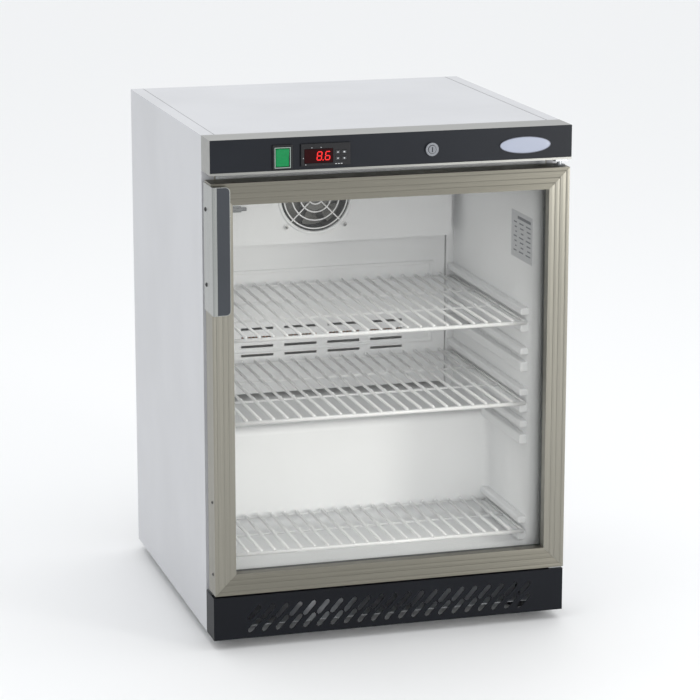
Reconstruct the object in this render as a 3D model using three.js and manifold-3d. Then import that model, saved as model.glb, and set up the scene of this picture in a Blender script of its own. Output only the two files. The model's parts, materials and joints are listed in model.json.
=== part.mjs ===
// Undercounter display refrigerator with a glazed, right-hinged door, built piece by piece.
//
// Millimetres, +Z up, +X to the right of someone facing the door, -Y towards that person.
// The cabinet is drawn with its front face at y = 0, so the door, fascia and plinth have negative y.
// The whole group is then moved so that its origin is at the centre of the footprint, on the floor.

import * as THREE from "three";
import { mergeVertices } from "three/addons/utils/BufferGeometryUtils.js";
import Module from "manifold-3d";

const wasm = await Module();
wasm.setup();

// ---------------------------------------------------------------------------------------------
// Driving dimensions
// ---------------------------------------------------------------------------------------------

const GAP = 0.3; // air between pieces that meet

const CABINET = { width: 600, depth: 540, bottom: 17, top: 839, sheet: 1 };
const HALF = CABINET.width / 2;
const FLANGE = { top: 21, front: 21, back: 17 }; // folded edges of the side panels
const TOP_SEAM = 1.2; // open seam between a side panel's flange and the top panel

// The moulded inner tub: opening, step over the machine bay, and rails for the shelves.
const TUB = { half: 258, bottom: 118, top: 748, back: 495, wall: 2 };
const STEP = { front: 215, top: 296, chamfer: 8 };
const TUB_FLANGE = { half: 278, bottom: 92, top: 790, thick: 2 };
const FRONT_RAIL_SHEET = 1.5;
const RAIL = { reach: 14, start: 16, below: [-23, -6], above: [6, 18] };
const RAIL_LEVELS = [505, 437, 367, 312, 145];
const DEEP_LEVELS = 3; // the three upper levels run back over the step
const CORNER_POST = { from: 243, front: 417 };

// Sheet under and behind the insulation, folded around the machine bay.
const BAY = { floorTop: 92, front: 253, ceiling: 258, sheet: 1 };
const BASE_PLATE = { bottom: 19, thick: 1.5 };
const BAY_FLOOR = BASE_PLATE.bottom + BASE_PLATE.thick + GAP;

// What stands in the machine bay.
const COMPRESSOR = { x: 120, y: 405, radius: 82, height: 165, belt: [55, 62], foot: 16, dome: 45 };
const COMPRESSOR_WAIST = { bottom: 0.72, foot: 0.94, shell: 0.98 }; // radii as parts of the belt's
const COMPRESSOR_PLATE = { halfX: 85, halfY: 70, bottom: 10, top: 14 };
const TERMINAL_BOX = { reach: 26, height: 46, half: 26, slope: [8, 12], lift: 60 };
const PAN = { left: -40, right: 190, front: 350, back: 500, floor: 226, rim: 248, wall: 1.5 };
const CONDENSER = { width: 190, depth: 80, height: 175, fins: 20, core: 12, bends: 3, tubeRadius: 4.5 };
const CONDENSER_PLACE = [-165, 340, BAY_FLOOR + 3 + CONDENSER.height / 2];
const DRIER = { radius: 12, neck: 4, length: 112, taper: 10, place: [-10, 510, 60] };
const GLAND = { flange: 14, barrel: 9, tip: 5.5, wire: 3.5, length: 22, lip: 3 };
const GLAND_PLATE = { half: 20, y: [-1.5, 0.5], up: 20, down: 32 };
const GLAND_PLACE = [240, 518, BAY_FLOOR + GLAND_PLATE.down];

// Refrigerant lines, from the compressor to the condenser and up to the evaporator.
const DISCHARGE = {
  radius: 3,
  steps: 16,
  route: [[36, 385, 110], [20, 383, 112], [2, 375, 130], [-20, 352, 160], [-50, 341, 180]],
};
const SUCTION = {
  radius: 4,
  steps: 18,
  route: [
    [140, 491, 120],
    [144, 503, 122],
    [160, 513, 140],
    [208, 513, 200],
    [210, 513, BAY.ceiling - 20],
    [210, 513, BAY.ceiling - 1],
  ],
};

// Rear cover, fan box and fan.
const COVER = { front: 415, half: 240, bottom: 306, top: 582.7, sheet: 1.5, back: 493 };
const EMBOSS = { half: 218, bottom: 389, top: 529, line: 5, depth: 0.8 };
const LOUVRE = { rows: 4, columns: 4, first: -136, pitch: 79.2, bottom: 373, rise: 16 };
const LOUVRE_SIZE = [59, 4.5];
const FAN_BOX = { left: -240, right: 236, front: 365, bottom: 583, top: 744, sheet: 1.5, hole: 62 };
const FAN = { x: -13, z: 665, frame: 119, depth: 38, bore: 57, hub: 28, rotor: 54.5, blades: 7 };
const STRUT = { half: 3, thick: 4, motor: 10 }; // cross behind the fan that carries its motor
const BLADE = { chord: 26, thick: 1.6, pitch: 50, root: 4 };
const GUARD = { rings: [14, 28, 42.5, 57], wire: 1.25, spoke: 1.2, screwPitch: 105 };
const GUARD_TAB = { radius: 4.5, half: 1.5 };
const PROBE = { x: [-175, -138], clip: [-167, -147], z: 649, radius: 3.2, height: 10, proud: 6 };
const DRAIN = { y: 455, radius: 8, wall: 2, clear: 0.8, lift: 8 };
const TRAY = { half: 228, front: 422, back: 490, bottom: 322, rim: 340, wall: 1.5 };
const EVAPORATOR = { ...CONDENSER, width: 380, depth: 55, height: 170, fins: 24 };
const EVAPORATOR_PLACE = [0, 456, 445];

// Shelves: coated wire panels that rest on the lower rib of a rail pair.
const SHELF = { half: 252, front: 8, thick: 5, edge: 5, wire: 4, gaps: 22 };
const SHELVES = [
  { name: "shelf_upper", level: 505, back: 405 },
  { name: "shelf_middle", level: 367, back: 405 },
  { name: "shelf_lower", level: 145, back: 208 },
];

// Fascia over the door, with its controls. A dark panel covers its front above a narrow sill.
const FASCIA = { front: -60, bottom: 783, wall: 1.5, sill: 4, panel: 2 };
const PANEL_BACK = FASCIA.front + FASCIA.panel;
const CONTROLLER = { left: -154, right: -73, bottom: 792, top: 828, front: -63, back: -20, border: 4 };
const DISPLAY = { left: -148, right: -102, bottom: 797, top: 819, thick: 1.2 };
const KEY = { columns: [-93.5, -83], rows: [803, 813], width: 7, height: 5, depth: 3, travel: 0.6 };
const KEY_DISH = { rim: 1, depth: 0.25 };
const SWITCH = { x: -183.5, z: 808.5, width: 33, height: 39, front: -62.5, back: -30 };
const SWITCH_BODY = { width: 30, height: 36, hole: [22.5, 31], floor: 4 };
const ROCKER = { width: 21.5, half: 14.2, front: 10, dish: 1.8, back: 3.5, pivotY: -53.5, tilt: 6 };
const LOCK = { x: 62.5, z: 810, flange: 11, barrel: 9, bore: 6.6, plug: 6.2, front: -63.5 };
const KEYWAY = { half: 0.9, height: 4, depth: 4 };
const CAM = { reach: 48, width: 12, front: -39.2, thick: 2.5, clear: 2 };
const BADGE = { x: 220, z: 810, a: 42.6, b: 13, thick: 1.4 };

// Door: four mitred aluminium sections around a double glazed unit, hinged on the right.
const DOOR = { half: 298.5, bottom: 94, top: 770, front: -58, back: -15, face: 35, wall: 2 };
const DOOR_HEIGHT = DOOR.top - DOOR.bottom;
// Each face has slightly crowned bands with a fine groove between them.
const FLUTE = { edges: [0, 6, 16.5, 25, 35], groove: 0.7, shoulder: 0.25, slope: 0.8 };
const GLASS = { front: -42, pane: 4, air: 12, bite: 13, backLip: 25.5 };
const SPACER = { inset: 3, width: 8 };
// The glazed unit reaches into the rails' grooves.
const PANE_INSET = DOOR.face - GLASS.bite;
const PANE_X = [-DOOR.half + PANE_INSET, DOOR.half - PANE_INSET];
const PANE_Z = [PANE_INSET, DOOR_HEIGHT - PANE_INSET];
const GASKET = { outer: 292, inner: 280, back: -0.6, endInset: 6 };
const HINGE = { x: 288, y: -36, pin: 4 };
const BUSH = { bore: 4.13, radius: 7, clear: 0.3, proud: 0.4, sleeve: 9.5, rim: 9.5, rimThick: 1.5 };
const BRACKET_TOP = { plate: [778, 781], flange: [778, 805], pin: [760, 781] };
const BRACKET_BOTTOM = { plate: [89.5, 92], flange: [62, 92], pin: [89.5, 104] };
const BRACKET = { reach: 11, front: 12, edge: HALF - 2, thick: 3 };
const HANDLE = { bottom: 561, top: 767, sheet: 1.2, sideBack: -12, tipX: -271, tipY: -72 };

// Plinth and feet.
const PLINTH = { front: -52, bottom: 17, top: 89, sheet: 1.2, fold: 20 };
const SLOT = { perRow: 21, pitch: 23.2, rows: [38.5, 59.5], length: 30, width: 8, lean: 42 };
const FOOT = { x: 255, front: 45, back: 495, pad: 19, padTop: 8, neck: 10, stud: 4, studTop: 34, edge: 2 };

// ---------------------------------------------------------------------------------------------
// Materials
// ---------------------------------------------------------------------------------------------

const paint = (color, roughness, metalness = 0) =>
  new THREE.MeshStandardMaterial({ color, roughness, metalness });

const M = {
  whiteSheet: paint(0xd3d5d9, 0.45),
  liner: paint(0xe3e4e6, 0.5),
  foam: paint(0xe8dcae, 0.95),
  zinc: paint(0xb4b8bb, 0.4, 0.8),
  stainless: paint(0xa9aaa5, 0.3, 1),
  doorMetal: paint(0x9b9584, 0.35, 1),
  blackSheet: paint(0x23262c, 0.4),
  blackPlastic: paint(0x17181b, 0.45),
  greenPlastic: paint(0x1fae57, 0.35),
  redWindow: paint(0x3a0508, 0.15),
  greyPlastic: paint(0x8b8e92, 0.5),
  chrome: paint(0xc9ccd0, 0.15, 1),
  badge: paint(0xdcdfea, 0.3),
  glass: paint(0xcfdcd6, 0.05),
  rubber: paint(0x241f1c, 0.8),
  wire: paint(0xe6e7e8, 0.4),
  copper: paint(0xb4683c, 0.3, 1),
  aluminium: paint(0xb9bdc0, 0.35, 1),
  compressor: paint(0x16171a, 0.35),
};

// ---------------------------------------------------------------------------------------------
// Shape helpers
// ---------------------------------------------------------------------------------------------

// A box given by its lowest and highest values on each axis.
function block(x, y, z) {
  const size = [x[1] - x[0], y[1] - y[0], z[1] - z[0]];
  const geometry = new THREE.BoxGeometry(...size);
  return geometry.translate((x[0] + x[1]) / 2, (y[0] + y[1]) / 2, (z[0] + z[1]) / 2);
}

function outline(points) {
  return new THREE.Shape(points.map(([a, b]) => new THREE.Vector2(a, b)));
}

function rectangle(a, b) {
  return [[a[0], b[0]], [a[1], b[0]], [a[1], b[1]], [a[0], b[1]]];
}

function prism(shape, length) {
  return new THREE.ExtrudeGeometry(shape, { depth: length, bevelEnabled: false, curveSegments: 6 });
}

// Outlines in (x, z) pushed along y, in (y, z) pushed along x, and in (x, y) pushed along z.
function alongY(points, y, holes = []) {
  const shape = outline(points);
  shape.holes = holes.map((hole) => outline(hole));
  return prism(shape, y[1] - y[0]).rotateX(Math.PI / 2).translate(0, y[1], 0);
}

function alongX(points, x) {
  return prism(outline(points), x[1] - x[0])
    .rotateY(Math.PI / 2)
    .rotateX(Math.PI / 2)
    .translate(x[0], 0, 0);
}

function alongZ(points, z, holes = []) {
  const shape = outline(points);
  shape.holes = holes.map((hole) => outline(hole));
  return prism(shape, z[1] - z[0]).translate(0, 0, z[0]);
}

function rod(radius, length, sides) {
  return new THREE.CylinderGeometry(radius, radius, length, sides);
}

function rodY(x, z, radius, y, sides = 24) {
  return rod(radius, y[1] - y[0], sides).translate(x, (y[0] + y[1]) / 2, z);
}

function rodZ(x, y, radius, z, sides = 24) {
  return rod(radius, z[1] - z[0], sides).rotateX(Math.PI / 2).translate(x, y, (z[0] + z[1]) / 2);
}

function rodX(y, z, radius, x, sides = 24) {
  return rod(radius, x[1] - x[0], sides).rotateZ(Math.PI / 2).translate((x[0] + x[1]) / 2, y, z);
}

// A round tube that follows a smooth curve through the points.
function pipe(points, radius, steps) {
  const knots = points.map((p) => new THREE.Vector3(...p));
  const curve = new THREE.CatmullRomCurve3(knots, false, "centripetal");
  const section = new THREE.Shape();
  const sides = 8;
  for (let i = 0; i < sides; i++) {
    const angle = (2 * Math.PI * i) / sides;
    const x = radius * Math.cos(angle);
    const y = radius * Math.sin(angle);
    if (i === 0) section.moveTo(x, y);
    else section.lineTo(x, y);
  }
  return new THREE.ExtrudeGeometry(section, { extrudePath: curve, steps, bevelEnabled: false });
}

function toSolid(geometry) {
  const bare = geometry.clone();
  bare.deleteAttribute("normal");
  bare.deleteAttribute("uv");
  const merged = mergeVertices(bare, 1e-4);
  return new wasm.Manifold(
    new wasm.Mesh({
      numProp: 3,
      vertProperties: new Float32Array(merged.attributes.position.array),
      triVerts: new Uint32Array(merged.index.array),
    }),
  );
}

function toGeometry(solid) {
  const mesh = solid.getMesh();
  const geometry = new THREE.BufferGeometry();
  geometry.setAttribute("position", new THREE.BufferAttribute(new Float32Array(mesh.vertProperties), 3));
  geometry.setIndex(new THREE.BufferAttribute(new Uint32Array(mesh.triVerts), 1));
  geometry.computeVertexNormals();
  return geometry;
}

function join(pieces) {
  return toGeometry(pieces.map(toSolid).reduce((whole, piece) => whole.add(piece)));
}

function cut(body, tools) {
  return toGeometry(tools.map(toSolid).reduce((rest, tool) => rest.subtract(tool), toSolid(body)));
}

function place(group, name, geometry, material, position = [0, 0, 0]) {
  const mesh = new THREE.Mesh(geometry, material);
  mesh.name = name;
  mesh.position.set(...position);
  group.add(mesh);
  return mesh;
}

// A solid turned about the z axis from an (r, z) profile that starts and ends on the axis.
function turnedZ(profile, sides) {
  const points = profile.map(([r, z]) => new THREE.Vector2(r, z));
  return new THREE.LatheGeometry(points, sides).rotateX(Math.PI / 2);
}

// A frame like a picture frame, flat in the x-z plane.
function ringY(outerX, outerZ, innerX, innerZ, y) {
  return alongY(rectangle(outerX, outerZ), y, [rectangle(innerX, innerZ)]);
}

// ---------------------------------------------------------------------------------------------
// Cabinet shell
// ---------------------------------------------------------------------------------------------

// side is -1 for the left panel and +1 for the right one.
function sidePanel(side) {
  const across = (from, to) => [side * from, side * to].sort((a, b) => a - b);
  const { depth, bottom, top, sheet } = CABINET;
  return join([
    block(across(HALF - sheet, HALF), [0, depth], [bottom, top]),
    block(across(HALF - FLANGE.top, HALF), [0, depth], [top - sheet, top]),
    block(across(HALF - FLANGE.front, HALF), [0, sheet], [bottom, top]),
    block(across(HALF - FLANGE.back, HALF), [depth - sheet, depth], [bottom, top]),
  ]);
}

function topPanel() {
  const half = HALF - FLANGE.top - TOP_SEAM;
  return block([-half, half], [0, CABINET.depth], [CABINET.top - CABINET.sheet, CABINET.top]);
}

function backPanel() {
  const half = HALF - FLANGE.back - GAP;
  const z = [BAY.ceiling + BAY.sheet + GAP, CABINET.top - CABINET.sheet - GAP];
  return block([-half, half], [CABINET.depth - CABINET.sheet, CABINET.depth], z);
}

function frontRail() {
  const z = [TUB_FLANGE.top + GAP, CABINET.top - CABINET.sheet - GAP];
  return block([-TUB_FLANGE.half, TUB_FLANGE.half], [0, FRONT_RAIL_SHEET], z);
}

// The folded sheet: floor of the insulated body, front wall and ceiling of the machine bay.
function machineBaySheet() {
  const half = HALF - CABINET.sheet - GAP;
  const back = CABINET.depth - CABINET.sheet - GAP;
  const floor = BAY.floorTop - BAY.sheet;
  const front = TUB_FLANGE.thick;
  const points = [
    [front, floor],
    [BAY.front + BAY.sheet, floor],
    [BAY.front + BAY.sheet, BAY.ceiling],
    [back, BAY.ceiling],
    [back, BAY.ceiling + BAY.sheet],
    [BAY.front, BAY.ceiling + BAY.sheet],
    [BAY.front, BAY.floorTop],
    [front, BAY.floorTop],
  ];
  return cut(alongX(points, [-half, half]), [drainHole()]);
}

function basePlate() {
  const half = HALF - CABINET.sheet - GAP;
  const y = [CABINET.sheet + GAP, CABINET.depth - CABINET.sheet - GAP];
  const z = [BASE_PLATE.bottom, BASE_PLATE.bottom + BASE_PLATE.thick];
  const through = [z[0] - 1, z[1] + 1];
  const holes = footPlaces().map((spot) => rodZ(spot.x, spot.y, FOOT.stud + GAP, through));
  return cut(block([-half, half], y, z), holes);
}

// ---------------------------------------------------------------------------------------------
// Inner tub and insulation
// ---------------------------------------------------------------------------------------------

// Side outline of the tub's hollow with its step over the machine bay, grown by a margin.
function tubOutline(grow, front) {
  return [
    [front, TUB.bottom - grow],
    [STEP.front + grow, TUB.bottom - grow],
    [STEP.front + grow, STEP.top - STEP.chamfer - grow],
    [STEP.front + STEP.chamfer + grow, STEP.top - grow],
    [TUB.back + grow, STEP.top - grow],
    [TUB.back + grow, TUB.top + grow],
    [front, TUB.top + grow],
  ];
}

function tubHollow(grow, front) {
  return alongX(tubOutline(grow, front), [-TUB.half - grow, TUB.half + grow]);
}

function drainHole() {
  return rodZ(0, DRAIN.y, DRAIN.radius + DRAIN.clear, [BAY.ceiling - 10, STEP.top + 5], 16);
}

function shelfRails() {
  const rails = [];
  RAIL_LEVELS.forEach((level, index) => {
    const end = index < DEEP_LEVELS ? COVER.front - 2 : STEP.front + 1;
    for (const side of [-1, 1]) {
      for (const [low, high] of [RAIL.below, RAIL.above]) {
        const x = [side * (TUB.half - RAIL.reach), side * (TUB.half + 1)].sort((a, b) => a - b);
        rails.push(block(x, [RAIL.start, end], [level + low, level + high]));
      }
    }
  });
  return rails;
}

function cornerPosts() {
  return [-1, 1].map((side) => {
    const x = [side * CORNER_POST.from, side * (TUB.half + 1)].sort((a, b) => a - b);
    return block(x, [CORNER_POST.front, TUB.back + 1], [STEP.top - 1, TUB.top + 1]);
  });
}

function innerLiner() {
  const flange = block(
    [-TUB_FLANGE.half, TUB_FLANGE.half],
    [0, TUB_FLANGE.thick],
    [TUB_FLANGE.bottom, TUB_FLANGE.top],
  );
  const shell = cut(join([tubHollow(TUB.wall, 0), flange]), [tubHollow(0, -1)]);
  return cut(join([shell, ...shelfRails(), ...cornerPosts()]), [drainHole()]);
}

function insulationFoam() {
  const half = HALF - CABINET.sheet - GAP;
  const back = CABINET.depth - CABINET.sheet - GAP;
  const front = TUB_FLANGE.thick + GAP;
  const top = CABINET.top - CABINET.sheet - GAP;
  const points = [
    [front, BAY.floorTop + GAP],
    [BAY.front - GAP, BAY.floorTop + GAP],
    [BAY.front - GAP, BAY.ceiling + BAY.sheet + GAP],
    [back, BAY.ceiling + BAY.sheet + GAP],
    [back, top],
    [front, top],
  ];
  return cut(alongX(points, [-half, half]), [tubHollow(TUB.wall + GAP, -1), drainHole()]);
}

// ---------------------------------------------------------------------------------------------
// Air side: rear cover, fan box, fan, coil, drip tray
// ---------------------------------------------------------------------------------------------

function louvres() {
  const [width, height] = LOUVRE_SIZE;
  const through = [COVER.front - 1, COVER.front + COVER.sheet + 1];
  const tools = [];
  for (let row = 0; row < LOUVRE.rows; row++) {
    for (let column = 0; column < LOUVRE.columns; column++) {
      const x = LOUVRE.first + column * LOUVRE.pitch;
      const z = LOUVRE.bottom + row * LOUVRE.rise;
      tools.push(block([x, x + width], through, [z, z + height]));
    }
  }
  return tools;
}

function evaporatorCover() {
  const { front, half, bottom, top, sheet, back } = COVER;
  const inner = EMBOSS.half - EMBOSS.line;
  const embossLine = ringY(
    [-EMBOSS.half, EMBOSS.half],
    [EMBOSS.bottom, EMBOSS.top],
    [-inner, inner],
    [EMBOSS.bottom + EMBOSS.line, EMBOSS.top - EMBOSS.line],
    [front - 1, front + EMBOSS.depth],
  );
  const shell = join([
    block([-half, half], [front, front + sheet], [bottom, top]),
    block([-half, -half + sheet], [front, back], [bottom, top]),
    block([half - sheet, half], [front, back], [bottom, top]),
  ]);
  return cut(shell, [embossLine, ...louvres()]);
}

function fanBox() {
  const { left, right, front, bottom, top, sheet } = FAN_BOX;
  const shell = join([
    block([left, right], [front, front + sheet], [bottom, top]),
    block([left, right], [front, COVER.front + COVER.sheet], [bottom, bottom + sheet]),
    block([left, left + sheet], [front, COVER.back], [bottom, top]),
    block([right - sheet, right], [front, COVER.back], [bottom, top]),
  ]);
  return cut(shell, [rodY(FAN.x, FAN.z, FAN_BOX.hole, [front - 1, front + sheet + 1], 32)]);
}

// The fan's pieces are drawn around the fan's axis, with y = 0 at the front of its frame.
function fanHousing() {
  const half = FAN.frame / 2;
  const frame = cut(block([-half, half], [0, FAN.depth], [-half, half]), [
    rodY(0, 0, FAN.bore, [-1, FAN.depth + 1], 32),
  ]);
  const motorY = [FAN.depth - STRUT.motor, FAN.depth];
  const strutY = [FAN.depth - STRUT.thick, FAN.depth];
  const long = [-half + 1, half - 1];
  const short = [-STRUT.half, STRUT.half];
  return join([
    frame,
    rodY(0, 0, FAN.hub, motorY, 24),
    block(long, strutY, short),
    block(short, strutY, long),
  ]);
}

function fanRotor() {
  const back = FAN.depth - STRUT.motor - 1;
  const pieces = [rodY(0, 0, FAN.hub, [2, back], 28)];
  const span = FAN.rotor - FAN.hub + BLADE.root;
  for (let i = 0; i < FAN.blades; i++) {
    const blade = new THREE.BoxGeometry(span, BLADE.chord, BLADE.thick)
      .rotateX(THREE.MathUtils.degToRad(BLADE.pitch))
      .translate(FAN.hub - BLADE.root + span / 2, (back + 1) / 2, 0)
      .rotateY((2 * Math.PI * i) / FAN.blades);
    pieces.push(blade);
  }
  const swept = rodY(0, 0, FAN.rotor, [1, back], 32);
  return toGeometry(toSolid(join(pieces)).intersect(toSolid(swept)));
}

function fanGuard() {
  const pieces = GUARD.rings.map((radius) =>
    new THREE.TorusGeometry(radius, GUARD.wire, 4, 18).rotateX(Math.PI / 2),
  );
  const half = GUARD.screwPitch / 2;
  const thick = [-GUARD.spoke, GUARD.spoke];
  for (const turn of [45, 135]) {
    const spoke = block([-half * Math.SQRT2, half * Math.SQRT2], thick, thick);
    pieces.push(spoke.rotateY(THREE.MathUtils.degToRad(turn)));
  }
  for (const x of [-half, half]) {
    for (const z of [-half, half]) {
      pieces.push(rodY(x, z, GUARD_TAB.radius, [-GUARD_TAB.half, GUARD_TAB.half], 10));
    }
  }
  return join(pieces);
}

// A block of cooling fins on a solid core, with the return bends of its tubes at the right end.
function finnedCoil({ width, depth, height, fins, core, bends, tubeRadius }) {
  const pitch = (width - 1) / (fins - 1);
  const comb = [];
  for (let i = 0; i < fins; i++) {
    const x = -width / 2 + i * pitch;
    comb.push([x, -core / 2], [x, -depth / 2], [x + 1, -depth / 2], [x + 1, -core / 2]);
  }
  const points = [...comb, ...comb.map(([x, y]) => [x, -y]).reverse()];
  const finBlock = alongZ(points, [-height / 2, height / 2]);
  const span = height / bends;
  const tubes = [];
  for (let i = 0; i < bends; i++) {
    const middle = -height / 2 + (i + 0.5) * span;
    const turn = [-span / 4, -span / 6, 0, span / 6, span / 4];
    const bow = [0, 12, 16, 12, 0];
    const route = turn.map((dz, j) => [width / 2 - 2 + bow[j], 0, middle + dz]);
    tubes.push(pipe(route, tubeRadius, 6));
  }
  return join([finBlock, ...tubes]);
}

function dripTray() {
  const outer = block([-TRAY.half, TRAY.half], [TRAY.front, TRAY.back], [TRAY.bottom, TRAY.rim]);
  const inner = block(
    [-TRAY.half + TRAY.wall, TRAY.half - TRAY.wall],
    [TRAY.front + TRAY.wall, TRAY.back - TRAY.wall],
    [TRAY.bottom + TRAY.wall, TRAY.rim + 1],
  );
  const outlet = rodZ(0, DRAIN.y, DRAIN.radius - DRAIN.wall, [TRAY.bottom - 1, TRAY.rim], 12);
  return cut(outer, [inner, outlet]);
}

function drainTube() {
  const z = [PAN.floor + DRAIN.lift, TRAY.bottom - GAP];
  const tube = rodZ(0, DRAIN.y, DRAIN.radius, z, 16);
  return cut(tube, [rodZ(0, DRAIN.y, DRAIN.radius - DRAIN.wall, [z[0] - 1, z[1] + 1], 12)]);
}

function temperatureProbe() {
  const y = [FAN_BOX.front - PROBE.proud - 1, FAN_BOX.front - GAP];
  const clip = block(PROBE.clip, y, [PROBE.z - PROBE.height / 2, PROBE.z + PROBE.height / 2]);
  return join([clip, rodX(FAN_BOX.front - PROBE.proud, PROBE.z, PROBE.radius, PROBE.x, 10)]);
}

// ---------------------------------------------------------------------------------------------
// Shelves
// ---------------------------------------------------------------------------------------------

function wireShelf(back) {
  const { half, front, thick, edge, wire, gaps } = SHELF;
  const pitch = (2 * half - 2 * edge + wire) / gaps;
  const middle = (front + back) / 2;
  const through = [-1, thick + 1];
  const windows = [];
  for (let i = 0; i < gaps; i++) {
    const left = -half + edge + i * pitch;
    const x = [left, left + pitch - wire];
    windows.push(block(x, [front + edge, middle - edge / 2], through));
    windows.push(block(x, [middle + edge / 2, back - edge], through));
  }
  return cut(block([-half, half], [front, back], [0, thick]), windows);
}

// ---------------------------------------------------------------------------------------------
// Machine bay
// ---------------------------------------------------------------------------------------------

// A welded steel shell on a mounting plate, drawn on its own vertical axis from the floor up.
function compressor() {
  const { radius, height, belt, foot, dome } = COMPRESSOR;
  const { halfX, halfY, bottom, top } = COMPRESSOR_PLATE;
  const shellRadius = radius * COMPRESSOR_WAIST.shell;
  const shoulder = top + height - dome;
  const profile = [
    [0, top - 2],
    [radius * COMPRESSOR_WAIST.bottom, top - 2],
    [radius * COMPRESSOR_WAIST.foot, top + foot],
    [radius, top + belt[0]],
    [radius, top + belt[1]],
    [shellRadius, shoulder],
  ];
  for (const turn of [25, 50, 70]) {
    const angle = THREE.MathUtils.degToRad(turn);
    profile.push([shellRadius * Math.cos(angle), shoulder + dome * Math.sin(angle)]);
  }
  profile.push([0, shoulder + dome]);
  const plate = block([-halfX, halfX], [-halfY, halfY], [bottom, top]);
  return join([turnedZ(profile, 24), plate]);
}

function terminalBox() {
  const { reach, height, half, slope } = TERMINAL_BOX;
  const points = [[0, 0], [reach, 0], [reach, height - slope[1]], [reach - slope[0], height], [0, height]];
  return alongY(points, [-half, half]);
}

function condensatePan() {
  const { left, right, front, back, floor, rim, wall } = PAN;
  const outer = block([left, right], [front, back], [floor, rim]);
  const inner = block([left + wall, right - wall], [front + wall, back - wall], [floor + wall, rim + 1]);
  return cut(outer, [inner]);
}

function filterDrier() {
  const { radius, neck, length, taper } = DRIER;
  const profile = [[0, 0], [neck, 0], [neck, taper], [radius, 2 * taper]];
  profile.push([radius, length - 2 * taper], [neck, length - taper], [neck, length], [0, length]);
  return turnedZ(profile, 16);
}

// Drawn along +y from the face of its plate.
function cordGland() {
  const { flange, barrel, tip, wire, length, lip } = GLAND;
  const profile = [[0, 0], [flange, 0], [flange, lip], [barrel, lip + 1], [barrel, length / 2]];
  profile.push([tip, length], [wire, length], [wire, length - lip], [0, length - lip]);
  const points = profile.map(([r, y]) => new THREE.Vector2(r, y));
  const { half, y, up, down } = GLAND_PLATE;
  return join([new THREE.LatheGeometry(points, 20), block([-half, half], y, [-down, up])]);
}

// ---------------------------------------------------------------------------------------------
// Plinth and feet
// ---------------------------------------------------------------------------------------------

// An obround that leans to the right, centred on (x, z).
function leaningSlot(x, z) {
  const lean = THREE.MathUtils.degToRad(SLOT.lean);
  const along = new THREE.Vector2(Math.sin(lean), Math.cos(lean));
  const across = new THREE.Vector2(along.y, -along.x);
  const straight = SLOT.length / 2 - SLOT.width / 2;
  const points = [];
  for (const end of [1, -1]) {
    for (const turn of [0, 60, 120, 180]) {
      const angle = THREE.MathUtils.degToRad(turn);
      const u = end * (straight + (SLOT.width / 2) * Math.sin(angle));
      const v = end * (SLOT.width / 2) * Math.cos(angle);
      points.push([x + u * along.x - v * across.x, z + u * along.y - v * across.y]);
    }
  }
  return points;
}

function plinthGrille() {
  const { front, bottom, top, sheet, fold } = PLINTH;
  const slots = [];
  for (const z of SLOT.rows) {
    for (let i = 0; i < SLOT.perRow; i++) {
      const x = (i - (SLOT.perRow - 1) / 2) * SLOT.pitch;
      slots.push(alongY(leaningSlot(x, z), [front - 1, front + sheet + 1]));
    }
  }
  const folded = join([
    block([-HALF, HALF], [front, front + sheet], [bottom, top]),
    block([-HALF, -HALF + sheet], [front, -GAP], [bottom, top]),
    block([HALF - sheet, HALF], [front, -GAP], [bottom, top]),
    block([-HALF, HALF], [front, front + fold], [top - sheet, top]),
  ]);
  return cut(folded, slots);
}

function footPlaces() {
  const places = [];
  for (const [row, y] of [["front", FOOT.front], ["back", FOOT.back]]) {
    for (const [side, x] of [["left", -FOOT.x], ["right", FOOT.x]]) {
      places.push({ name: "foot_" + row + "_" + side, x, y });
    }
  }
  return places;
}

function foot() {
  const { pad, padTop, neck, stud, studTop, edge } = FOOT;
  const neckTop = BASE_PLATE.bottom - GAP;
  const profile = [[0, 0], [pad - edge, 0], [pad, edge], [pad, padTop], [neck, padTop + edge]];
  profile.push([neck, neckTop], [stud, neckTop], [stud, studTop], [0, studTop]);
  return turnedZ(profile, 20);
}

// ---------------------------------------------------------------------------------------------
// Fascia and controls
// ---------------------------------------------------------------------------------------------

// The clear path of the lock's cam through a wall under the lock.
function camSlot(z) {
  const { clear, front, thick } = CAM;
  const side = CAM.width / 2 + clear;
  const drop = LOCK.z - z[1];
  const reach = Math.sqrt(CAM.reach ** 2 - drop ** 2) + side;
  return block([LOCK.x - side, LOCK.x + reach], [front - clear, front + thick + clear], z);
}

// A folded box, open at the front and back, with a sill along the front of its lower wall.
function fasciaHousing() {
  const { bottom, front, wall, sill } = FASCIA;
  const top = CABINET.top;
  const boxFront = PANEL_BACK + GAP;
  const inside = [[-HALF + wall, HALF - wall], [bottom + wall, top - wall]];
  const box = ringY([-HALF, HALF], [bottom, top], ...inside, [boxFront, -GAP]);
  const lip = block([-HALF, HALF], [front, boxFront + 1], [bottom, bottom + sill]);
  const through = [bottom - 1, bottom + wall + 1];
  const flangeNotch = block(
    [HINGE.x - BRACKET.reach - GAP, BRACKET.edge + GAP],
    [-BRACKET.thick - 2 * GAP, 0],
    through,
  );
  return cut(join([box, lip]), [camSlot(through), flangeNotch]);
}

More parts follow.
